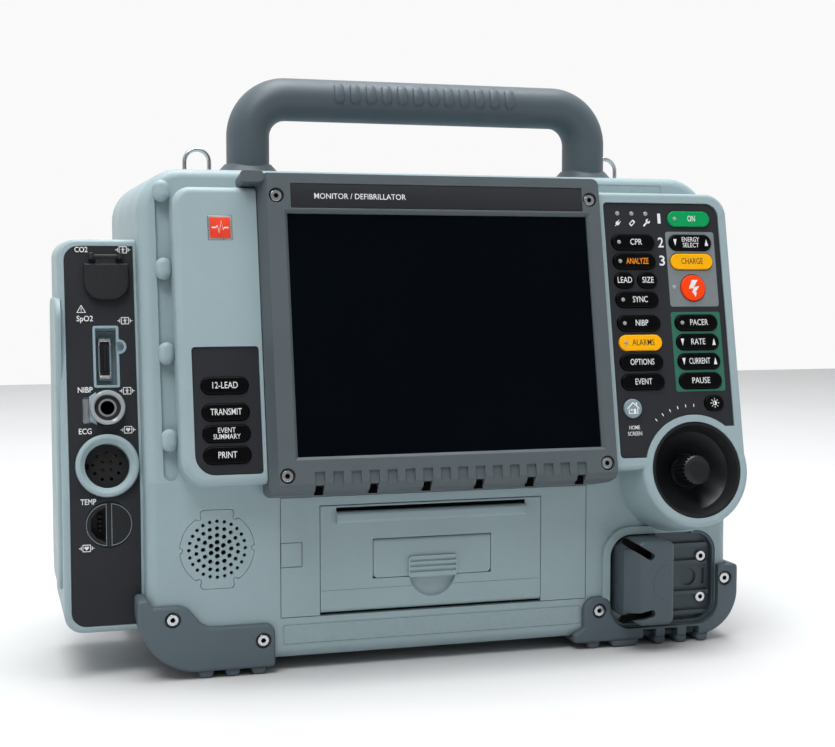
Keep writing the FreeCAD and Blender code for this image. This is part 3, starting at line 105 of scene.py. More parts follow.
def shrunk(points, amount):
    """A closed outline, counter-clockwise, moved inward by amount."""
    moved = []
    for number, here in enumerate(points):
        before = Vector(points[number - 1])
        here = Vector(here)
        after = Vector(points[(number + 1) % len(points)])
        first = (here - before).normalized()
        second = (after - here).normalized()
        along = (first + second).normalized()
        inward = Vector((-along.y, along.x))
        reach = amount / max(0.4, inward.dot(Vector((-first.y, first.x))))
        moved.append(tuple(here + inward * reach))
    return moved


# ---- materials --------------------------------------------------------------------------

def srgb(red, green, blue):
    """A colour given in 8-bit display values, as linear light."""
    values = [value / 255 for value in (red, green, blue)]
    return [value / 12.92 if value <= 0.04045 else ((value + 0.055) / 1.055) ** 2.4 for value in values] + [1]


def tinted(colour, factor):
    return [min(1, value * factor) for value in colour[:3]] + [1]


class Surface:
    """A material's node tree, built from its Principled shader backwards."""

    def __init__(self, name, colour, roughness, **constants):
        self.material = bpy.data.materials.new(name)
        self.material.use_nodes = True
        self.tree = self.material.node_tree
        self.shader = self.tree.nodes["Principled BSDF"]
        self.shader.inputs["Base Color"].default_value = colour
        self.shader.inputs["Roughness"].default_value = roughness
        for socket, value in constants.items():
            self.shader.inputs[socket.replace("_", " ")].default_value = value
        self.colour = None
        self.plain = colour
        self.where = self.add("ShaderNodeTexCoord").outputs["Object"]
        self.normal = None

    def add(self, kind, **settings):
        node = self.tree.nodes.new(kind)
        for name, value in settings.items():
            setattr(node, name, value)
        return node

    def link(self, source, target):
        self.tree.links.new(source, target)

    def noise(self, scale, detail=3, roughness=0.55, stretch=None):
        texture = self.add("ShaderNodeTexNoise")
        texture.inputs["Scale"].default_value = scale
        texture.inputs["Detail"].default_value = detail
        texture.inputs["Roughness"].default_value = roughness
        where = self.where
        if stretch:
            mapping = self.add("ShaderNodeMapping")
            mapping.inputs["Scale"].default_value = stretch
            self.link(where, mapping.inputs["Vector"])
            where = mapping.outputs["Vector"]
        self.link(where, texture.inputs["Vector"])
        return texture.outputs["Fac"]

    def ranged(self, value, low, high, new_low, new_high):
        node = self.add("ShaderNodeMapRange")
        node.inputs["From Min"].default_value = low
        node.inputs["From Max"].default_value = high
        node.inputs["To Min"].default_value = new_low
        node.inputs["To Max"].default_value = new_high
        self.link(value, node.inputs["Value"])
        return node.outputs["Result"]

    def product(self, first, second):
        node = self.add("ShaderNodeMath", operation="MULTIPLY")
        self.link(first, node.inputs[0])
        self.link(second, node.inputs[1])
        return node.outputs[0]

    def blended(self, factor, colour):
        """Mixes a plain colour over the base colour so far."""
        node = self.add("ShaderNodeMix", data_type="RGBA")
        self.link(factor, node.inputs["Factor"])
        if self.colour is None:
            node.inputs["A"].default_value = self.plain
        else:
            self.link(self.colour, node.inputs["A"])
        node.inputs["B"].default_value = colour
        self.colour = node.outputs["Result"]
        self.link(self.colour, self.shader.inputs["Base Color"])
        return self

    def mottled(self, scale, colour, amount=0.5):
        """Slow, soft patches of a second colour."""
        return self.blended(self.ranged(self.noise(scale, 4), 0.4, 0.7, 0, amount), colour)

    def speckled(self, scale, colour, amount=0.6):
        """Fine specks of a second colour."""
        return self.blended(self.ranged(self.noise(scale, 2, 0.7), 0.56, 0.66, 0, amount), colour)

    def worn(self, radius, colour, amount=0.6):
        """Edges rubbed to a second colour in patches."""
        soft = self.add("ShaderNodeBevel", samples=4)
        soft.inputs["Radius"].default_value = radius * MM
        flat = self.add("ShaderNodeNewGeometry").outputs["Normal"]
        dot = self.add("ShaderNodeVectorMath", operation="DOT_PRODUCT")
        self.link(soft.outputs["Normal"], dot.inputs[0])
        self.link(flat, dot.inputs[1])
        edge = self.ranged(dot.outputs["Value"], 0.995, 0.9, 0, amount)
        patches = self.ranged(self.noise(60, 5, 0.7), 0.35, 0.65, 0.25, 1)
        return self.blended(self.product(edge, patches), colour)

    def uneven(self, scale, low, high):
        """Roughness that wanders between two values."""
        self.link(self.ranged(self.noise(scale, 4), 0.3, 0.7, low, high), self.shader.inputs["Roughness"])
        return self

    def grained(self, scale, height, stretch=None, ease=None):
        """A relief of that height in millimetres, over edges eased by a radius in millimetres."""
        bump = self.add("ShaderNodeBump")
        bump.inputs["Strength"].default_value = 1
        bump.inputs["Distance"].default_value = height * MM
        self.link(self.noise(scale, 2, 0.6, stretch), bump.inputs["Height"])
        if ease:
            soft = self.add("ShaderNodeBevel", samples=4)
            soft.inputs["Radius"].default_value = ease * MM
            self.link(soft.outputs["Normal"], bump.inputs["Normal"])
        self.link(bump.outputs["Normal"], self.shader.inputs["Normal"])
        return self


def moulded(name, colour, roughness=0.5, wear=1.25, grain=0.05, ease=0.5, shine=0.4):
    """Textured moulded plastic with rubbed edges."""
    surface = Surface(name, colour, roughness, Specular_IOR_Level=shine)
    surface.mottled(22, tinted(colour, 0.9), 0.5).speckled(1900, tinted(colour, 1.14), 0.5)
    surface.worn(1.1, tinted(colour, wear), 0.5)
    surface.uneven(35, roughness - 0.06, roughness + 0.08).grained(1500, grain, ease=ease)
    return surface.material


def glossy(name, colour, roughness=0.22, coat=0.3, shine=0.4):
    """Smooth elastomer or lacquer with faint finger marks."""
    surface = Surface(name, colour, roughness, Coat_Weight=coat, Coat_Roughness=0.12,
                      Specular_IOR_Level=shine)
    surface.mottled(90, tinted(colour, 0.88), 0.4).uneven(160, roughness - 0.05, roughness + 0.1)
    return surface.grained(420, 0.02, ease=0.25).material


def metal(name, colour, roughness, stretch=(1, 1, 1)):
    surface = Surface(name, colour, roughness, Metallic=1)
    surface.mottled(130, tinted(colour, 0.8), 0.5).uneven(240, roughness - 0.06, roughness + 0.1)
    return surface.grained(900, 0.01, stretch).material


def printed(name, colour):
    """Ink or a thin film, slightly uneven in its cover."""
    surface = Surface(name, colour, 0.45)
    surface.mottled(300, tinted(colour, 0.86), 0.5).uneven(400, 0.38, 0.55)
    return surface.grained(2600, 0.01).material


CASE = srgb(148, 168, 173)
SLATE = srgb(80, 89, 94)

LOOKS = {
    "case_plastic": moulded("case_plastic", CASE, 0.46),
    "bezel_plastic": moulded("bezel_plastic", SLATE, 0.5),
    "handle_plastic": moulded("handle_plastic", srgb(77, 89, 96), 0.48, 1.3, 0.06),
    "bumper_rubber": moulded("bumper_rubber", srgb(83, 96, 104), 0.58, 1.3, 0.07, 1.1),
    "panel_black": moulded("panel_black", srgb(40, 42, 47), 0.5, 1.2, 0.05, 0.3, 0.2),
    "dial_black": moulded("dial_black", srgb(24, 26, 29), 0.32, 1.5, 0.02, 0.3, 0.35),
    "key_black": glossy("key_black", srgb(4, 4, 6), 0.3, 0.02, 0.1),
    "key_green": glossy("key_green", srgb(0, 150, 84), 0.3, 0.05, 0.2),
    "key_yellow": glossy("key_yellow", srgb(250, 176, 0), 0.3, 0.05, 0.2),
    "key_orange": glossy("key_orange", srgb(250, 66, 4), 0.3, 0.05, 0.2),
    "key_grey": glossy("key_grey", srgb(128, 146, 154)),
    "display_metal": metal("display_metal", srgb(190, 190, 192), 0.35),
    "steel": metal("steel", srgb(206, 208, 210), 0.26),
    "speaker_black": moulded("speaker_black", srgb(20, 20, 22), 0.7),
    "paper": printed("paper", srgb(240, 240, 236)),
    "platen_rubber": moulded("platen_rubber", srgb(34, 34, 36), 0.7),
    "connector_grey": moulded("connector_grey", srgb(70, 82, 89), 0.44, 1.3),
    "connector_light": moulded("connector_light", srgb(140, 160, 168), 0.4),
    "socket_black": moulded("socket_black", srgb(26, 27, 30), 0.55, 1.5, 0.22, 0.5, 0.3),
    "fitting_metal": metal("fitting_metal", srgb(214, 220, 222), 0.12),
    "chassis_metal": metal("chassis_metal", srgb(186, 188, 192), 0.4),
    "circuit_board": printed("circuit_board", srgb(28, 92, 52)),
    "capacitor": glossy("capacitor", srgb(40, 52, 110)),
    "battery_black": moulded("battery_black", srgb(44, 46, 50), 0.55, 1.3),
}


def display_glass():
    """Hard-coated clear sheet over a dark display, as one glossy black with faint smears."""
    surface = Surface("window", srgb(2, 6, 12), 0.1, Specular_IOR_Level=0.06)
    surface.mottled(9, srgb(4, 9, 15), 0.7).uneven(26, 0.07, 0.18)
    return surface.grained(240, 0.002).material


LOOKS["window"] = display_glass()


def painted_shade_surface(name, colour):
    """Painted shade: the near-black put at the bottom of a hole, standing in for the shade there."""
    surface = Surface(name, colour, 0.8, Specular_IOR_Level=0.05)
    return surface.mottled(200, srgb(12, 12, 13)).grained(600, 0.02).material


WHITE = printed("legend_white", srgb(228, 231, 232))
DARK = printed("legend_dark", srgb(70, 52, 10))
AMBER = printed("legend_amber", srgb(255, 150, 20))
FIELD_GREY = printed("field_grey", srgb(118, 126, 129))
FIELD_GREEN = printed("field_green", srgb(36, 104, 84))
STRIP = printed("label_film", srgb(145, 165, 170))
# label borders, and painted shade along the printer door's crease
LABEL_BORDER_AND_CREASE_SHADE = printed("label_border_and_crease_shade", srgb(104, 124, 132))
LENS = glossy("lens_clear", srgb(150, 156, 158), 0.15)
BADGE_RED = glossy("badge_red", srgb(232, 64, 34), 0.3)
SILVER = metal("badge_silver", srgb(200, 203, 206), 0.3)
BRASS = metal("contact_brass", srgb(210, 160, 80), 0.25)
CLEAR = glossy("clear_ring", srgb(150, 158, 162), 0.08, 1)
# a dark line: painted shade over the printer's seams, and the connector's arc mark
SEAM_SHADE_AND_ARC_LINE = printed("seam_shade_and_arc_line", srgb(58, 68, 74))
# painted shade: one near-black for the bottoms of holes, slots and bores, standing in for the shade in them
PAINTED_SHADE = painted_shade_surface("painted_shade_black", srgb(4, 4, 5))

for entry in record["subparts"]:
    held = nodes[entry["node"]].data
    held.materials.clear()
    held.materials.append(LOOKS[entry["material_slot"]])


# ---- pieces -----------------------------------------------------------------------------

class Piece:
    """One visible piece. Its parts are drawn in millimetres in any place, then made as one mesh."""

    def __init__(self, name, material, slot, body=HOUSING):
        self.name = name
        self.material = material
        self.slot = slot
        self.body = body
        self.mesh = bmesh.new()

    def rings(self, rings, place, closed=True):
        """Skins a row of equal rings of (x, y, z) points, with flat ends."""
        made = [[self.mesh.verts.new((place @ Vector(point)) * MM) for point in ring] for ring in rings]
        for lower, upper in zip(made, made[1:]):
            for number in range(len(lower)):
                after = (number + 1) % len(lower)
                self.mesh.faces.new((lower[number], lower[after], upper[after], upper[number]))
        if closed:
            self.mesh.faces.new(list(reversed(made[0])))
            self.mesh.faces.new(made[-1])
        return self

    def slab(self, outline, low, high, place, edge=0):
        """A plate with that outline, its front edge eased."""
        rings = [[(x, y, low) for x, y in outline], [(x, y, high - edge) for x, y in outline]]
        if edge:
            rings.append([(x, y, high - edge * 0.3) for x, y in shrunk(outline, edge * 0.35)])
            rings.append([(x, y, high) for x, y in shrunk(outline, edge)])
        return self.rings(rings, place)

    def turned(self, profile, place, steps=32, capped=True):
        """A solid of revolution from (radius, height) points, uncapped if they close on themselves."""
        rings = []
        for radius, height in profile:
            rings.append([(x, y, height) for x, y in circle(0, 0, max(radius, 0.01), steps)])
        return self.rings(rings, place, capped)

    def film(self, outlines, out, place, thick=0.06):
        """A thin film: the first outline filled, less the others."""
        curve = bpy.data.curves.new("film", "CURVE")
        curve.dimensions = "2D"
        curve.fill_mode = "BOTH"
        curve.extrude = thick / 2
        for points in outlines:
            spline = curve.splines.new("POLY")
            spline.points.add(len(points) - 1)
            for point, (x, y) in zip(spline.points, points):
                point.co = (x, y, 0, 1)
            spline.use_cyclic_u = True
        return self.taken(curve, at(place, 0, 0, out))

    def words(self, text, x, y, cap, width, place, bold=0.002, turn=0, thick=0.05):
        """A line of lettering centred on a point, with its capitals' height and its width in millimetres."""
        letters = bpy.data.curves.new("letters", "FONT")
        letters.body = text
        letters.size = cap / 0.72
        letters.align_x = "CENTER"
        letters.align_y = "CENTER"
        letters.offset = bold * cap
        letters.extrude = thick
        letters.resolution_u = 3
        return self.taken(letters, at(place, x, y, 0, turn), width)

    def taken(self, curve, place, width=None):
        """Adds a curve's or text's own faces, fitted to a width if one is given."""
        holder = bpy.data.objects.new("holder", curve)
        bpy.context.collection.objects.link(holder)
        bpy.context.view_layer.update()
        graph = bpy.context.evaluated_depsgraph_get()
        mesh = bpy.data.meshes.new_from_object(holder.evaluated_get(graph))
        if width:
            across = [vertex.co.x for vertex in mesh.vertices]
            middle_x = (max(across) + min(across)) / 2
            mesh.transform(Matrix.Scale(width / (max(across) - min(across)), 4, (1, 0, 0))
                           @ Matrix.Translation((-middle_x, 0, 0)))
        mesh.transform(Matrix.Scale(MM, 4) @ place)
        self.mesh.from_mesh(mesh)
        bpy.data.objects.remove(holder)
        bpy.data.meshes.remove(mesh)
        return self

    def done(self, smooth=35):
        """Makes the object; edges sharper than smooth degrees stay crisp."""
        bmesh.ops.remove_doubles(self.mesh, verts=self.mesh.verts, dist=1e-6)
        bmesh.ops.recalc_face_normals(self.mesh, faces=self.mesh.faces)
        data = bpy.data.meshes.new(self.name)
        self.mesh.to_mesh(data)
        self.mesh.free()
        data.materials.append(self.material)
        for face in data.polygons:
            face.use_smooth = True
        data.set_sharp_from_angle(angle=math.radians(smooth))
        made = bpy.data.objects.new(self.name, data)
        bpy.context.collection.objects.link(made)
        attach(made, self.body)
        return made


# ---- keys -------------------------------------------------------------------------------

CAP = 3.6
SMALL_CAP = 2.8
LINE_GAP = 0.6
LAMP_SHIFT = 1.5
LED_INSET = 4.2
ARROW_INSET = 3.4
ARROW_HALF = 1.1
ARROW_RISE = 2

# each key's lines and their widths, its ink, whether it has a lamp, and whether it rocks
KEY_WORDS = {
    "key_on": ((("ON", 4.9),), WHITE, True, False),
    "key_cpr": ((("CPR", 7.4),), WHITE, True, False),
    "key_energy": ((("ENERGY", 11.2), ("SELECT", 10.4)), WHITE, False, True),
    "key_analyze": ((("ANALYZE", 14),), AMBER, True, False),
    "key_charge": ((("CHARGE", 13.8),), DARK, False, False),
    "key_lead": ((("LEAD", 9),), WHITE, False, False),
    "key_size": ((("SIZE", 7.2),), WHITE, False, False),
    "key_sync": ((("SYNC", 9.4),), WHITE, True, False),
    "key_nibp": ((("NIBP", 7.9),), WHITE, True, False),
    "key_pacer": ((("PACER", 11.5),), WHITE, True, False),
    "key_alarms": ((("ALARMS", 14),), DARK, True, False),
    "key_rate": ((("RATE", 9),), WHITE, False, True),
    "key_options": ((("OPTIONS", 15),), WHITE, False, False),
    "key_current": ((("CURRENT", 13.4),), WHITE, False, True),
    "key_event": ((("EVENT", 10.5),), WHITE, False, False),
    "key_pause": ((("PAUSE", 11.4),), WHITE, False, False),
    "key_12_lead": ((("12-LEAD", 13.6),), WHITE, False, False),
    "key_transmit": ((("TRANSMIT", 16.8),), WHITE, False, False),
    "key_summary": ((("EVENT", 9.4), ("SUMMARY", 14.6)), WHITE, False, False),
    "key_print": ((("PRINT", 10),), WHITE, False, False),
}


def key_lettering():
    for name, (lines, ink, lamp, rocks) in KEY_WORDS.items():
        low, high = span(name, SLOPE)
        x, y = (low.x + high.x) / 2, (low.y + high.y) / 2
        face = at(SLOPE, 0, 0, high.z + 0.02)
        words = Piece("legend_" + name, ink, "key_black", name)
        shift = LAMP_SHIFT if lamp else 0
        cap = CAP if len(lines) == 1 else SMALL_CAP
        for number, (line, width) in enumerate(lines):
            up = y + ((len(lines) - 1) / 2 - number) * (cap + LINE_GAP)
            words.words(line, x + shift, up, cap, width, face)
        if rocks:
            for side in (-1, 1):
                tip = x + side * ((high.x - low.x - 2) / 2 - ARROW_INSET)
                rise = side * ARROW_RISE
                arrow = [(tip - ARROW_HALF, y - rise), (tip + ARROW_HALF, y - rise), (tip, y + rise)]
                words.film([arrow[::side]], 0.02, face)
        words.done()
        if lamp:
            lens = Piece("lamp_" + name, LENS, "key_grey", name)
            lens.turned([(1.15, -0.3), (1.15, 0.1), (0.9, 0.3), (0.5, 0.42), (0, 0.45)],
                        at(face, low.x + 1 + LED_INSET, y), 20)
            lens.done()


def bolt():
    """The shock key's zigzag arrow."""
    x, y, _ = middle("key_shock", SLOPE)
    face = at(SLOPE, x, y, span("key_shock", SLOPE)[1].z + 0.03)
    words = Piece("legend_key_shock", WHITE, "key_orange", "key_shock")
    words.film([[(0.9, -5.6), (1.8, -2.6), (0.9, -2.7), (3.7, 0.9), (0.2, 0.4), (2.9, 4.6), (-0.9, 4.6),
                 (-3.1, -0.6), (0.1, -0.3), (-1.3, -2.9), (-0.5, -3)]], 0, face, 0.08)
    words.done()


def sun():
    """The brightness key's half-filled sun."""
    x, y, _ = middle("key_brightness", SLOPE)
    face = at(SLOPE, x, y, span("key_brightness", SLOPE)[1].z + 0.03)
    sign = Piece("legend_key_brightness", WHITE, "key_black", "key_brightness")
    sign.film([circle(0, 0, 1.35, 24), circle(0, 0, 0.95, 20)], 0, face)
    sign.film([arc(0, 0, 1.1, -90, 90, 10)], 0.01, face)
    rays = 8
    for step in range(rays):
        ray = at(face, 0, 0, 0, math.radians(360 / rays * step))
        sign.film([[(1.9, -0.2), (2.8, -0.2), (2.8, 0.2), (1.9, 0.2)]], 0, ray)
    sign.done()


def house():
    """The home key's house: roof, walls, chimney, door and window."""
    x, y, _ = middle("key_home", SLOPE)
    face = at(SLOPE, x, y, span("key_home", SLOPE)[1].z + 0.03)
    roof = [(-3.9, 0.1), (-3.5, -0.4), (0, 2.9), (3.5, -0.4), (3.9, 0.1), (0, 3.8)]
    walls = [(-2.9, -0.3), (-2.4, 0.2), (-2.4, -2.6), (2.4, -2.6), (2.4, 0.2), (2.9, -0.3), (2.9, -3.1),
             (-2.9, -3.1)]
    chimney = [(1.7, 2.5), (2.5, 1.8), (2.5, 3.4), (1.7, 3.4)]
    door = rounded_box(0.2, 1.6, -2.6, -0.2, 0.1, 2)
    pane = rounded_box(-1.6, -0.5, -1.4, -0.3, 0.1, 2)
    sign = Piece("legend_key_home", WHITE, "key_grey", "key_home")
    for outline in (roof, walls, chimney, door, pane):
        sign.film([outline], 0, face)
    sign.done()


# ---- control panel ----------------------------------------------------------------------

def key_gap(name, spare=0.5):
    """The outline of the clear ring round a key in a printed field."""
    low, high = span(name, SLOPE)
    width = high.x - low.x - 2 + 2 * spare
    height = high.y - low.y - 1.4 + 2 * spare
    x, y = (low.x + high.x) / 2, (low.y + high.y) / 2
    return stadium(x, y, width, height)


def panel_fields():
    """The grey field round the shock keys and the green one round the pacing keys."""
    face_out = span("control_panel", SLOPE)[1].z
    for name, ink, box, keys in (
            ("shock_field", FIELD_GREY, (150.3, 181.6, 102, 146.6),
             ("key_energy", "key_charge", "key_shock")),
            ("pacing_field", FIELD_GREEN, (150, 181.6, 52, 98.8),
             ("key_pacer", "key_rate", "key_current", "key_pause"))):
        field = Piece(name, ink, "panel_black")
        field.film([rounded_box(*box, 1.6)] + [key_gap(key) for key in keys], face_out + 0.04, SLOPE)
        field.done()


def plug_sign(marks, place):
    marks.film([rounded_box(-1.1, 1.1, -1.3, 0.7, 0.4, 3)], 0, place)
    marks.film([rounded_box(-0.25, 0.25, -2.6, -1.3, 0.1, 2)], 0, place)
    for side in (-0.6, 0.6):
        marks.film([rounded_box(side - 0.2, side + 0.2, 0.7, 1.9, 0.1, 2)], 0, place)


def battery_sign(marks, place):
    marks.film([rounded_box(-1.1, 1.1, -2, 1.8, 0.4, 3), rounded_box(-0.6, 0.6, -1.2, 0.9, 0.2, 2)], 0, place)


def wrench_sign(marks, place):
    marks.film([rounded_box(-0.5, 0.5, -2.6, 1, 0.4, 3)], 0, place)
    marks.film([arc(0, 1.7, 1.4, 130, 410, 16) + arc(0, 2.1, 0.6, 410, 130, 8)], 0, place)


def panel_legends():
    """The step numbers, the home key's words, three lamp signs and the ticks over the dial."""
    face = at(SLOPE, 0, 0, span("control_panel", SLOPE)[1].z + 0.05)
    marks = Piece("panel_legends", WHITE, "panel_black")
    for text, width, x, y in (("1", 1.9, 147, 154.1), ("2", 3.5, 147, 139.8), ("3", 3.5, 147.1, 129)):
        marks.words(text, x, y, 6, width, face, 0.02)
    marks.words("HOME", 122, 31.9, 2.3, 6.6, face)
    marks.words("SCREEN", 122, 28.4, 2.3, 8.8, face)
    lean = math.radians(-45)
    plug_sign(marks, at(face, 120.7, 151.6, 0, lean))
    battery_sign(marks, at(face, 129.7, 151.7, 0, lean))
    wrench_sign(marks, at(face, 138.6, 151.6, 0, lean))
    dial_x, dial_y = 159, 6.4
    for degrees in range(88, 129, 8):
        tick = at(face, dial_x, dial_y, 0, math.radians(degrees))
        marks.film([rounded_box(36.6, 38.4, -0.25, 0.25, 0.1, 2)], 0, tick)
    marks.done()


def panel_lamps():
    """Three status lamps at the top of the panel and one beside the shock key."""
    face = at(SLOPE, 0, 0, span("control_panel", SLOPE)[1].z + 0.05)
    for number, (x, y) in enumerate(((120.7, 157.2), (129.6, 157.2), (138.5, 157.2), (153.6, 113.6))):
        lens = Piece(f"panel_lamp_{number}", LENS, "key_grey")
        lens.turned([(1.3, -0.3), (1.3, 0.15), (1, 0.4), (0.5, 0.55), (0, 0.6)], at(face, x, y), 20)
        lens.done()


# ---- display bezel ----------------------------------------------------------------------

def nameplate():
    plate = Piece("nameplate", LOOKS["panel_black"], "panel_black")
    plate.slab(rounded_box(-72.9, 97.3, 157.5, 170.7, 0.6, 3), -0.68, -0.25, SLOPE, 0.15)
    plate.done()
    words = Piece("nameplate_words", WHITE, "panel_black")
    words.words("MONITOR / DEFIBRILLATOR", -34, 163.8, 3.2, 52, at(SLOPE, 0, 0, -0.22))
    words.done()


def badge():
    """A plain square badge with a pulse line."""
    low, high = -117.3, -104.2
    level = -10
    edge = Piece("badge_frame", SILVER, "steel")
    edge.slab(rounded_box(low, high, 141.2, 154.8, 0.5, 3), level - 0.5, level + 0.1, SLOPE, 0.12)
    edge.done()
    face = Piece("badge_face", BADGE_RED, "key_orange")
    face.slab(rounded_box(low + 1, high - 1, 142.2, 153.8, 0.3, 3), level, level + 0.25, SLOPE, 0.1)
    face.done()
    pulse = Piece("badge_pulse", WHITE, "key_orange")
    line = [(-4.6, 0), (-2.4, 0), (-1.5, 1.2), (-0.6, -2.8), (0.7, 3.6), (1.6, -1.2), (2.3, 0), (4.6, 0)]
    half = 0.38
    upper = [(x, y + half) for x, y in line]
    lower = [(x, y - half) for x, y in reversed(line)]
    pulse.film([lower + upper], level + 0.28, at(SLOPE, (low + high) / 2, 148), 0.06)
    pulse.done()


# where the case screws' sockets are: their place, across, up and the level of the head's seat
SCREW_SEATS = [
    (SLOPE, -81, 164.1, -3), (SLOPE, 102.4, 164.2, -3), (SLOPE, -81.4, 11.7, -3), (SLOPE, 102.4, 12.2, -3),
    (FRONT, -140, 33.3, 85.4), (FRONT, -90.8, 18.9, 85.4), (FRONT, 107.9, 22.5, 85.4),
    (FRONT, 188.9, 37.4, 85.4), (FRONT, 176.2, 50.2, 79), (FRONT, 176.2, 25.5, 79),
]


def paint_shade_in_holes():
    """Painted shade: near-black fillings low in the screw sockets, the paper slot and the bezel's vents,
    standing in for the shade where the light doesn't reach.
    """
    # painted shade low in each screw socket
    sockets = Piece("screw_socket_shade", PAINTED_SHADE, "socket_black")
    for place, across, up, seat in SCREW_SEATS:
        hexagon = circle(across, up, 1.45, 6)
        sockets.slab(hexagon, seat + 0.65, seat + 1.25, place)
    sockets.done()
    # painted shade inside the paper slot
    slot = Piece("paper_slot_shade", PAINTED_SHADE, "socket_black", "printer_door")
    slot.slab(rounded_box(-48.8, 62.2, 87.7, 89.7, 0.3, 2), 81.5, 83.1, FRONT)
    slot.done()
    # painted shade inside the bezel's vent slots
    vents = Piece("bezel_vent_shade", PAINTED_SHADE, "socket_black")
    # every third of the bezel's sixteen slots is a vent
    for number in range(0, 16, 3):
        x = -64 + 10.03 * number
        vents.slab(rounded_box(x - 2.3, x + 2.3, 1.1, 5.4, 0.2, 2), -6.9, -5.2, SLOPE)
    vents.done()


def printer_marks():
    """Painted shade: dark films over the seams round the printer's frame, standing in for the shadow in the
    gaps, and a darker line along the crease across its door, standing in for the crease's shade.
    """
    low, high = span("printer_frame", FRONT)
    face = at(FRONT, 0, 0, high.z)
    # painted shade: dark films bridging the gaps round the frame and round its small square panel
    seams = Piece("printer_seam_shade", SEAM_SHADE_AND_ARC_LINE, "case_plastic")
    gap = 0.35
    for left, right, down, up in ((low.x, high.x, low.y, high.y), (low.x, -68.5, 58, 71.2)):
        seams.film([rounded_box(left - gap, right + gap, down - gap, up + gap, 0.3, 2),
                    rounded_box(left, right, down, up, 0.2, 2)], 0.03, face)
    seams.done()
    # painted shade: a darker line along the crease across the door
    crease = Piece("door_crease_shade", LABEL_BORDER_AND_CREASE_SHADE, "case_plastic", "printer_door")
    crease_up = 43.4
    for left, right in ((-57.4, -5.2), (18.8, 71.4)):
        crease.film([rounded_box(left, right, crease_up, crease_up + 0.3, 0.1, 2)], 0.03, face)
    crease.done()


def label_film(name, box, place):
    """A blank label strip with a fine border: its words are left off."""
    film = Piece(name, STRIP, "case_plastic")
    film.film([rounded_box(*box, 1.2)], 0.04, place, 0.08)
    film.done()
    left, right, low, high = box
    border = Piece(name + "_line", LABEL_BORDER_AND_CREASE_SHADE, "case_plastic")
    border.film([rounded_box(left + 0.4, right - 0.4, low + 0.4, high - 0.4, 1),
                 rounded_box(left + 0.7, right - 0.7, low + 0.7, high - 0.7, 0.9)], 0.09, place, 0.06)
    border.done()


# ---- port column ------------------------------------------------------------------------

ICON_SCALE = 1.05
ICON_BOX = [rounded_box(-2.1, 2.1, -1.9, 1.9, 0.3, 2), rounded_box(-1.7, 1.7, -1.5, 1.5, 0.2, 2)]


def person_icon(marks, face, x, y):
    """The usual mark of a defibrillation-proof patient part: a figure in a box between two paddles."""
    face = at(face, x, y) @ Matrix.Scale(ICON_SCALE, 4)
    marks.film(ICON_BOX, 0, face)
    marks.film([circle(0, 0.95, 0.36, 10)], 0, face)
    marks.film([[(-0.22, 0.5), (-1.1, 0.35), (-1.1, 0.1), (-0.3, 0.15), (-0.5, -1.3), (-0.2, -1.3), (0, -0.3),
                 (0.2, -1.3), (0.5, -1.3), (0.3, 0.15), (1.1, 0.1), (1.1, 0.35), (0.22, 0.5)]], 0, face)
    paddles(marks, face)


def heart_icon(marks, face, x, y):
    """The same mark with a heart, for a part that touches the heart."""
    face = at(face, x, y) @ Matrix.Scale(ICON_SCALE, 4)
    marks.film(ICON_BOX, 0, face)
    lobes = arc(0.55, 0.35, 0.62, -20, 170, 8) + arc(-0.55, 0.35, 0.62, 10, 200, 8)
    marks.film([lobes + [(0, -1.15)]], 0, face)
    paddles(marks, face)


def paddles(marks, face):
    for side in (-1, 1):
        near, far = sorted((side * 2.5, side * 2.9))
        marks.film([rounded_box(near, far, -1, 1, 0.1, 2)], 0, face)
        near, far = sorted((side * 2.8, side * 3.9))
        marks.film([rounded_box(near, far, -0.22, 0.22, 0.1, 2)], 0, face)


def port_print():
    """The sockets' names and patient marks. The lowest socket's are on the upright part of the panel."""
    face = at(PORT, 0, 0, 0.05)
    marks = Piece("port_legends", WHITE, "panel_black")
    cap = 3.1
    bold = 0.018
    for text, width, x, y in (("CO2", 7, -182.4, 137.7), ("SpO2", 8.8, -181.4, 99.3),
                              ("NIBP", 8, -182.2, 60.1), ("ECG", 6.8, -182.8, 37.5)):
        marks.words(text, x, y, cap, width, face, bold)
    for y in (137.8, 98.1, 59.3):
        person_icon(marks, face, -159.8, y)
    heart_icon(marks, face, -159.9, 37.9)
    warning = at(face, -183.2, 104.6)
    marks.film([[(-2.6, -1.9), (2.6, -1.9), (0, 2.5)], [(-1.9, -1.5), (1.9, -1.5), (0, 1.8)]], 0, warning)
    marks.film([rounded_box(-0.2, 0.2, -0.5, 0.9, 0.1, 2)], 0, warning)
    marks.film([circle(0, -1.05, 0.24, 8)], 0, warning)
    lower = at(FRONT, 0, 0, 69.05)
    marks.words("TEMP", -182.2, 96.4, cap, 8.2, lower, bold)
    heart_icon(marks, lower, -183.4, 71.4)
    marks.done()


def sensor_contacts():
    """The oxygen sensor socket's sheet clips and its black core."""
    clips = Piece("spo2_clips", LOOKS["steel"], "steel")
    for low, high in ((67, 68.6), (87.4, 89)):
        clips.slab(rounded_box(-174, -167.6, low, high, 0.5, 3), -7.6, -5.4, PORT, 0.3)
    for x in (-173.8, -167.8):
        for low, high in ((67.6, 70.6), (85.4, 88.4)):
            clips.slab(rounded_box(x - 0.45, x + 0.45, low, high, 0.2, 2), -7.6, -6, PORT, 0.15)
    clips.done()
    core = Piece("spo2_core", LOOKS["socket_black"], "socket_black")
    core.slab(rounded_box(-173.3, -168.3, 68.8, 87.2, 0.6, 3), -11.9, -6.4, PORT, 0.4)
    core.slab(rounded_box(-171.6, -170, 71, 85, 0.4, 3), -6.5, -5.4, PORT, 0.3)
    core.done()


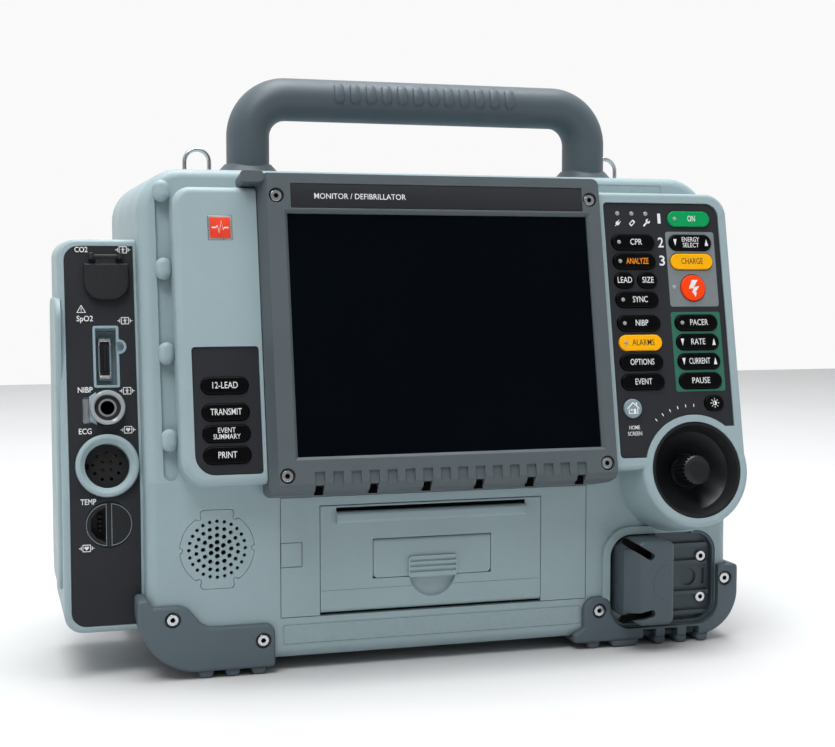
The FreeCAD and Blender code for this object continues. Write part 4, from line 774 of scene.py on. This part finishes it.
def ecg_contacts():
    """The ECG socket's floor and its keyway as painted shade, a near-black film standing in for the shade
    deep in the socket, and a ring of four and a ring of ten sleeved pins.
    """
    across, up, _ = middle("ecg_socket", PORT)
    # painted shade: near-black over the socket's floor and in its keyway
    floor = Piece("ecg_floor_shade", PAINTED_SHADE, "socket_black")
    floor.slab(circle(across, up, 11.6), -11.95, -11.7, PORT)
    floor.slab(rounded_box(across - 12.2, across - 9.6, up - 1.3, up + 1.3, 0.3, 2), -11.8, -3.4, PORT)
    floor.done()
    sleeves = Piece("ecg_sleeves", LOOKS["socket_black"], "socket_black")
    pins = Piece("ecg_contacts", BRASS, "steel")
    for radius, count, start in ((2.9, 4, 45), (7.1, 10, 90)):
        for step in range(count):
            angle = math.radians(start + 360 * step / count)
            place = at(PORT, across + radius * math.cos(angle), up + radius * math.sin(angle))
            sleeves.turned([(0, -11.9), (1.25, -11.9), (1.25, -8.4), (1, -8.1), (0, -8.1)], place, 16)
            pins.turned([(0, -8.3), (0.5, -8.3), (0.5, -7.4), (0.3, -7.1), (0, -7)], place, 12)
    sleeves.done()
    pins.done()


def pressure_fitting():
    """The tab beside the hose fitting's clip, the fitting's clear ring, painted shade inside its bore,
    near-black standing in for the shade there, and a dark annulus round the bore.
    """
    tab = Piece("nibp_tab", LOOKS["connector_light"], "connector_light")
    clear_of_clip = 1.25
    left = span("nibp_latch", PORT)[1].x + clear_of_clip
    tab.slab([(left, 43.2), (-176.5, 41), (-176.5, 59), (left, 56.4)], -2.9, 0.5, PORT, 0.4)
    tab.done()
    mouth = at(PORT, -170.8, 50)
    ring = Piece("nibp_ring", CLEAR, "fitting_metal")
    ring.turned([(8.6, 3.3), (9.2, 3.5), (9.5, 4.2), (9.2, 5), (8.2, 5.3), (7.3, 5), (7, 4.2), (7.3, 3.5),
                 (8.6, 3.3)], mouth, 48, False)
    ring.done()
    # painted shade: a near-black sleeve and bottom inside the bore
    bore_shade = Piece("nibp_bore_shade", PAINTED_SHADE, "socket_black")
    bore_shade.turned([(3.79, 2.2), (3.6, 2.2), (3.6, -11.6), (0, -11.6), (0, -11.95), (3.79, -11.95),
                   (3.79, 2.2)], mouth, 40, False)
    bore_shade.done()
    # a dark annulus on the fitting's face, inside the clear ring
    annulus = Piece("nibp_dark_annulus", LOOKS["platen_rubber"], "platen_rubber")
    annulus.turned([(6.9, 2.3), (6.9, 2.6), (4.9, 2.6), (4.9, 2.3), (6.9, 2.3)], mouth, 40, False)
    annulus.done()


def temperature_socket():
    """The two half-moon outlines of the temperature socket and its row of contacts."""
    outline = Piece("temp_outline", LOOKS["connector_light"], "connector_light")
    x, _, y = middle("temp_socket", Matrix.Identity(4))
    face = at(FRONT, x, y, span("temp_socket", FRONT)[1].z)
    for half in (arc(-0.7, 0, 11.5, 93, 267, 24), arc(0.7, 0, 11.5, -87, 87, 24)):
        outline.film([half, shrunk(half, 0.3)], 0.04, face)
    outline.done()
    teeth = Piece("temp_contacts", LOOKS["socket_black"], "socket_black")
    for step in range(4):
        foot = -4.9 + 2.6 * step
        teeth.slab(rounded_box(-5.4, -3.2, foot, foot + 1.8, 0.5, 3), -8, -5.6, face, 0.3)
    teeth.done()


# ---- handle, connector block and back ---------------------------------------------------

def grip_pads():
    """Shallow raised pads along the front of the carrying bar."""
    low, high = span("handle", Matrix.Identity(4))
    bar_y = (low.y + high.y) / 2
    # half the bar's section, which is an oval
    deep = 15
    thick = 12.25
    bar_z = high.z - thick
    pads = Piece("grip_pads", LOOKS["handle_plastic"], "handle_plastic")
    count = 12
    pitch = 9.5
    first = -35
    steps = 12
    for number in range(count):
        x = first + number * pitch
        rings = []
        for step in range(steps + 1):
            angle = math.radians(-14 + 60 * step / steps)
            end = min(step, steps - step) / 2
            half = 2.9 * (1 if end >= 1 else 0.62 + 0.38 * end)
            lift = 0.95 if end >= 0.5 else 0.3
            ring = []
            for across, proud in ((-half, -0.6), (half, -0.6), (half, lift * 0.5), (half - 0.5, lift),
                                  (-half + 0.5, lift), (-half, lift * 0.5)):
                ring.append((x + across, bar_y - (deep + proud) * math.cos(angle),
                             bar_z + (thick + proud) * math.sin(angle)))
            rings.append(ring)
        pads.rings(rings, Matrix.Identity(4))
    pads.done(50)


def connector_marks():
    """The moulded arc, painted shade on the latch slots' floors, near-black standing in for the shade inside
    them, and the brass contacts of the therapy connector.
    """
    face_out = span("therapy_socket", FRONT)[1].z
    mark = Piece("connector_arc", SEAM_SHADE_AND_ARC_LINE, "connector_grey")
    mark.film([arc(143.4, 41, 11, 95, 262, 24) + arc(143.4, 41, 10.6, 262, 95, 24)], face_out + 0.03, FRONT)
    mark.done()
    # painted shade: near-black films low in the two latch slots
    slots = Piece("latch_slot_shadow", PAINTED_SHADE, "socket_black")
    for up, lean in ((60, -32), (22.4, 12)):
        slots.slab(rounded_box(-11.8, 7.8, -2, 2, 1.8, 4), -6.95, -4.5,
                   at(FRONT, 126, up, face_out, math.radians(lean)))
    slots.done()
    contacts = Piece("therapy_contacts", BRASS, "steel")
    sideways = Matrix.Rotation(QUARTER, 4, "Y")
    for z in (50, 33):
        contacts.turned([(0, 0), (3.2, 0), (3.2, 10), (2.6, 11.4), (0, 12)],
                        Matrix.Translation((133, -(face_out - 16), z)) @ sideways, 24)
    contacts.done()


# how far out the rear case's face and the battery packs' faces are, in BACK
REAR_FACE = 112


def socket_cover():
    """The rubber cover over the rear sockets, with three raised fields and a pull tab."""
    cover = Piece("socket_cover", LOOKS["battery_black"], "battery_black")
    cover.slab(rounded_box(-38.6, 38.6, 183.4, 210.6, 4, 6), REAR_FACE - 1.5, REAR_FACE + 1.2, BACK, 0.7)
    for x in (-24, 0, 24):
        field = rounded_box(x - 9, x + 9, 187.5, 206.5, 3, 6)
        cover.slab(field, REAR_FACE + 1.1, REAR_FACE + 1.9, BACK, 0.5)
    cover.slab(rounded_box(-5, 5, 181.2, 184.2, 1.2, 4), REAR_FACE + 0.2, REAR_FACE + 1.8, BACK, 0.4)
    cover.done()


def rating_plate():
    """The blank metal plate where such a unit has its ratings."""
    plate = Piece("rating_plate", SILVER, "steel")
    plate.slab(rounded_box(-70, 30, 224, 252, 2, 4), REAR_FACE, REAR_FACE + 0.3, BACK, 0.12)
    plate.done()


def battery_face(body, x):
    """A battery pack's blank label, its row of charge lamps and the ribs of its finger clip."""
    label = Piece("film_" + body, STRIP, "case_plastic", body)
    label.film([rounded_box(x - 38, x + 38, 66, 122, 2)], REAR_FACE + 0.04, BACK, 0.08)
    label.done()
    lamps = Piece("lamps_" + body, LENS, "key_grey", body)
    for step in range(4):
        lamps.turned([(1.6, -0.4), (1.6, 0.1), (1.3, 0.35), (0, 0.4)],
                     at(BACK, x - 12 + 8 * step, 138, REAR_FACE), 20)
    lamps.done()
    ribs = Piece("ribs_" + body, LOOKS["battery_black"], "battery_black", body)
    for step in range(4):
        foot = 155.6 + 2.6 * step
        ribs.slab(rounded_box(x - 10, x + 10, foot, foot + 1.2, 0.5, 3), REAR_FACE - 0.2, REAR_FACE + 0.5,
                  BACK, 0.3)
    ribs.done()


# ---- camera, light and floor ------------------------------------------------------------

CAMERA_AT = (-0.23724, -0.87804, 0.21769)
YAW = 0.28799
PITCH = 0.065458
LENS_MM = 63.943


def camera():
    data = bpy.data.cameras.new("camera")
    data.lens = LENS_MM
    data.sensor_width = 36
    made = bpy.data.objects.new("camera", data)
    made.location = CAMERA_AT
    made.rotation_euler = (QUARTER - PITCH, 0, -YAW)
    bpy.context.collection.objects.link(made)
    bpy.context.scene.camera = made


# what the lights face: the object's middle
AIM = Vector((0, 0, 0.15))


def soft_box(name, where, size, power):
    """A square white light that faces the object's middle."""
    data = bpy.data.lights.new(name, "AREA")
    data.shape = "SQUARE"
    data.size = size
    data.energy = power
    made = bpy.data.objects.new(name, data)
    made.location = where
    made.rotation_euler = (AIM - Vector(where)).to_track_quat("-Z", "Y").to_euler()
    bpy.context.collection.objects.link(made)


def lights():
    soft_box("key_light", (-0.8, -1.1, 2.3), 1.2, 36)
    soft_box("fill_light", (1.8, -1.1, 1.2), 1.4, 4)
    soft_box("top_light", (0.1, 0.2, 2.3), 1.4, 54)


def surroundings():
    """Bright behind the object and dimmer in front of it, so that its front is lit mostly from above."""
    world = bpy.data.worlds.new("studio")
    world.use_nodes = True
    tree = world.node_tree
    background = tree.nodes["Background"]
    background.inputs["Strength"].default_value = 1
    where = tree.nodes.new("ShaderNodeTexCoord")
    parts = tree.nodes.new("ShaderNodeSeparateXYZ")
    level = tree.nodes.new("ShaderNodeMapRange")
    for name, value in (("From Min", -0.4), ("From Max", 0.5), ("To Min", 0.28), ("To Max", 0.95)):
        level.inputs[name].default_value = value
    tree.links.new(where.outputs["Generated"], parts.inputs["Vector"])
    tree.links.new(parts.outputs["Y"], level.inputs["Value"])
    tree.links.new(level.outputs["Result"], background.inputs["Color"])
    bpy.context.scene.world = world


def ground():
    """A pale floor."""
    data = bpy.data.meshes.new("floor")
    reach = 2.2
    corners = [(-reach, -reach, 0), (reach, -reach, 0), (reach, reach, 0), (-reach, reach, 0)]
    data.from_pydata(corners, [], [(0, 1, 2, 3)])
    pale = Surface("floor_pale", srgb(205, 206, 207), 0.8)
    pale.mottled(3, srgb(199, 200, 201)).grained(500, 0.02)
    data.materials.append(pale.material)
    floor = bpy.data.objects.new("floor", data)
    bpy.context.collection.objects.link(floor)


camera()
lights()
surroundings()
ground()
bpy.context.scene.view_settings.view_transform = "Standard"
key_lettering()
bolt()
sun()
house()
panel_fields()
panel_legends()
panel_lamps()
nameplate()
badge()
paint_shade_in_holes()
printer_marks()
label_film("front_label", (-79.4, 97.6, 14.6, 26.2), at(FRONT, 0, 0, 84))
label_film("top_label", (118.5, 161.6, 174.5, 180.6), at(SLOPE, 0, 0, -27))
port_print()
sensor_contacts()
ecg_contacts()
pressure_fitting()
temperature_socket()
grip_pads()
connector_marks()
socket_cover()
rating_plate()
battery_face("battery_left", 51.5)
battery_face("battery_right", -51.5)
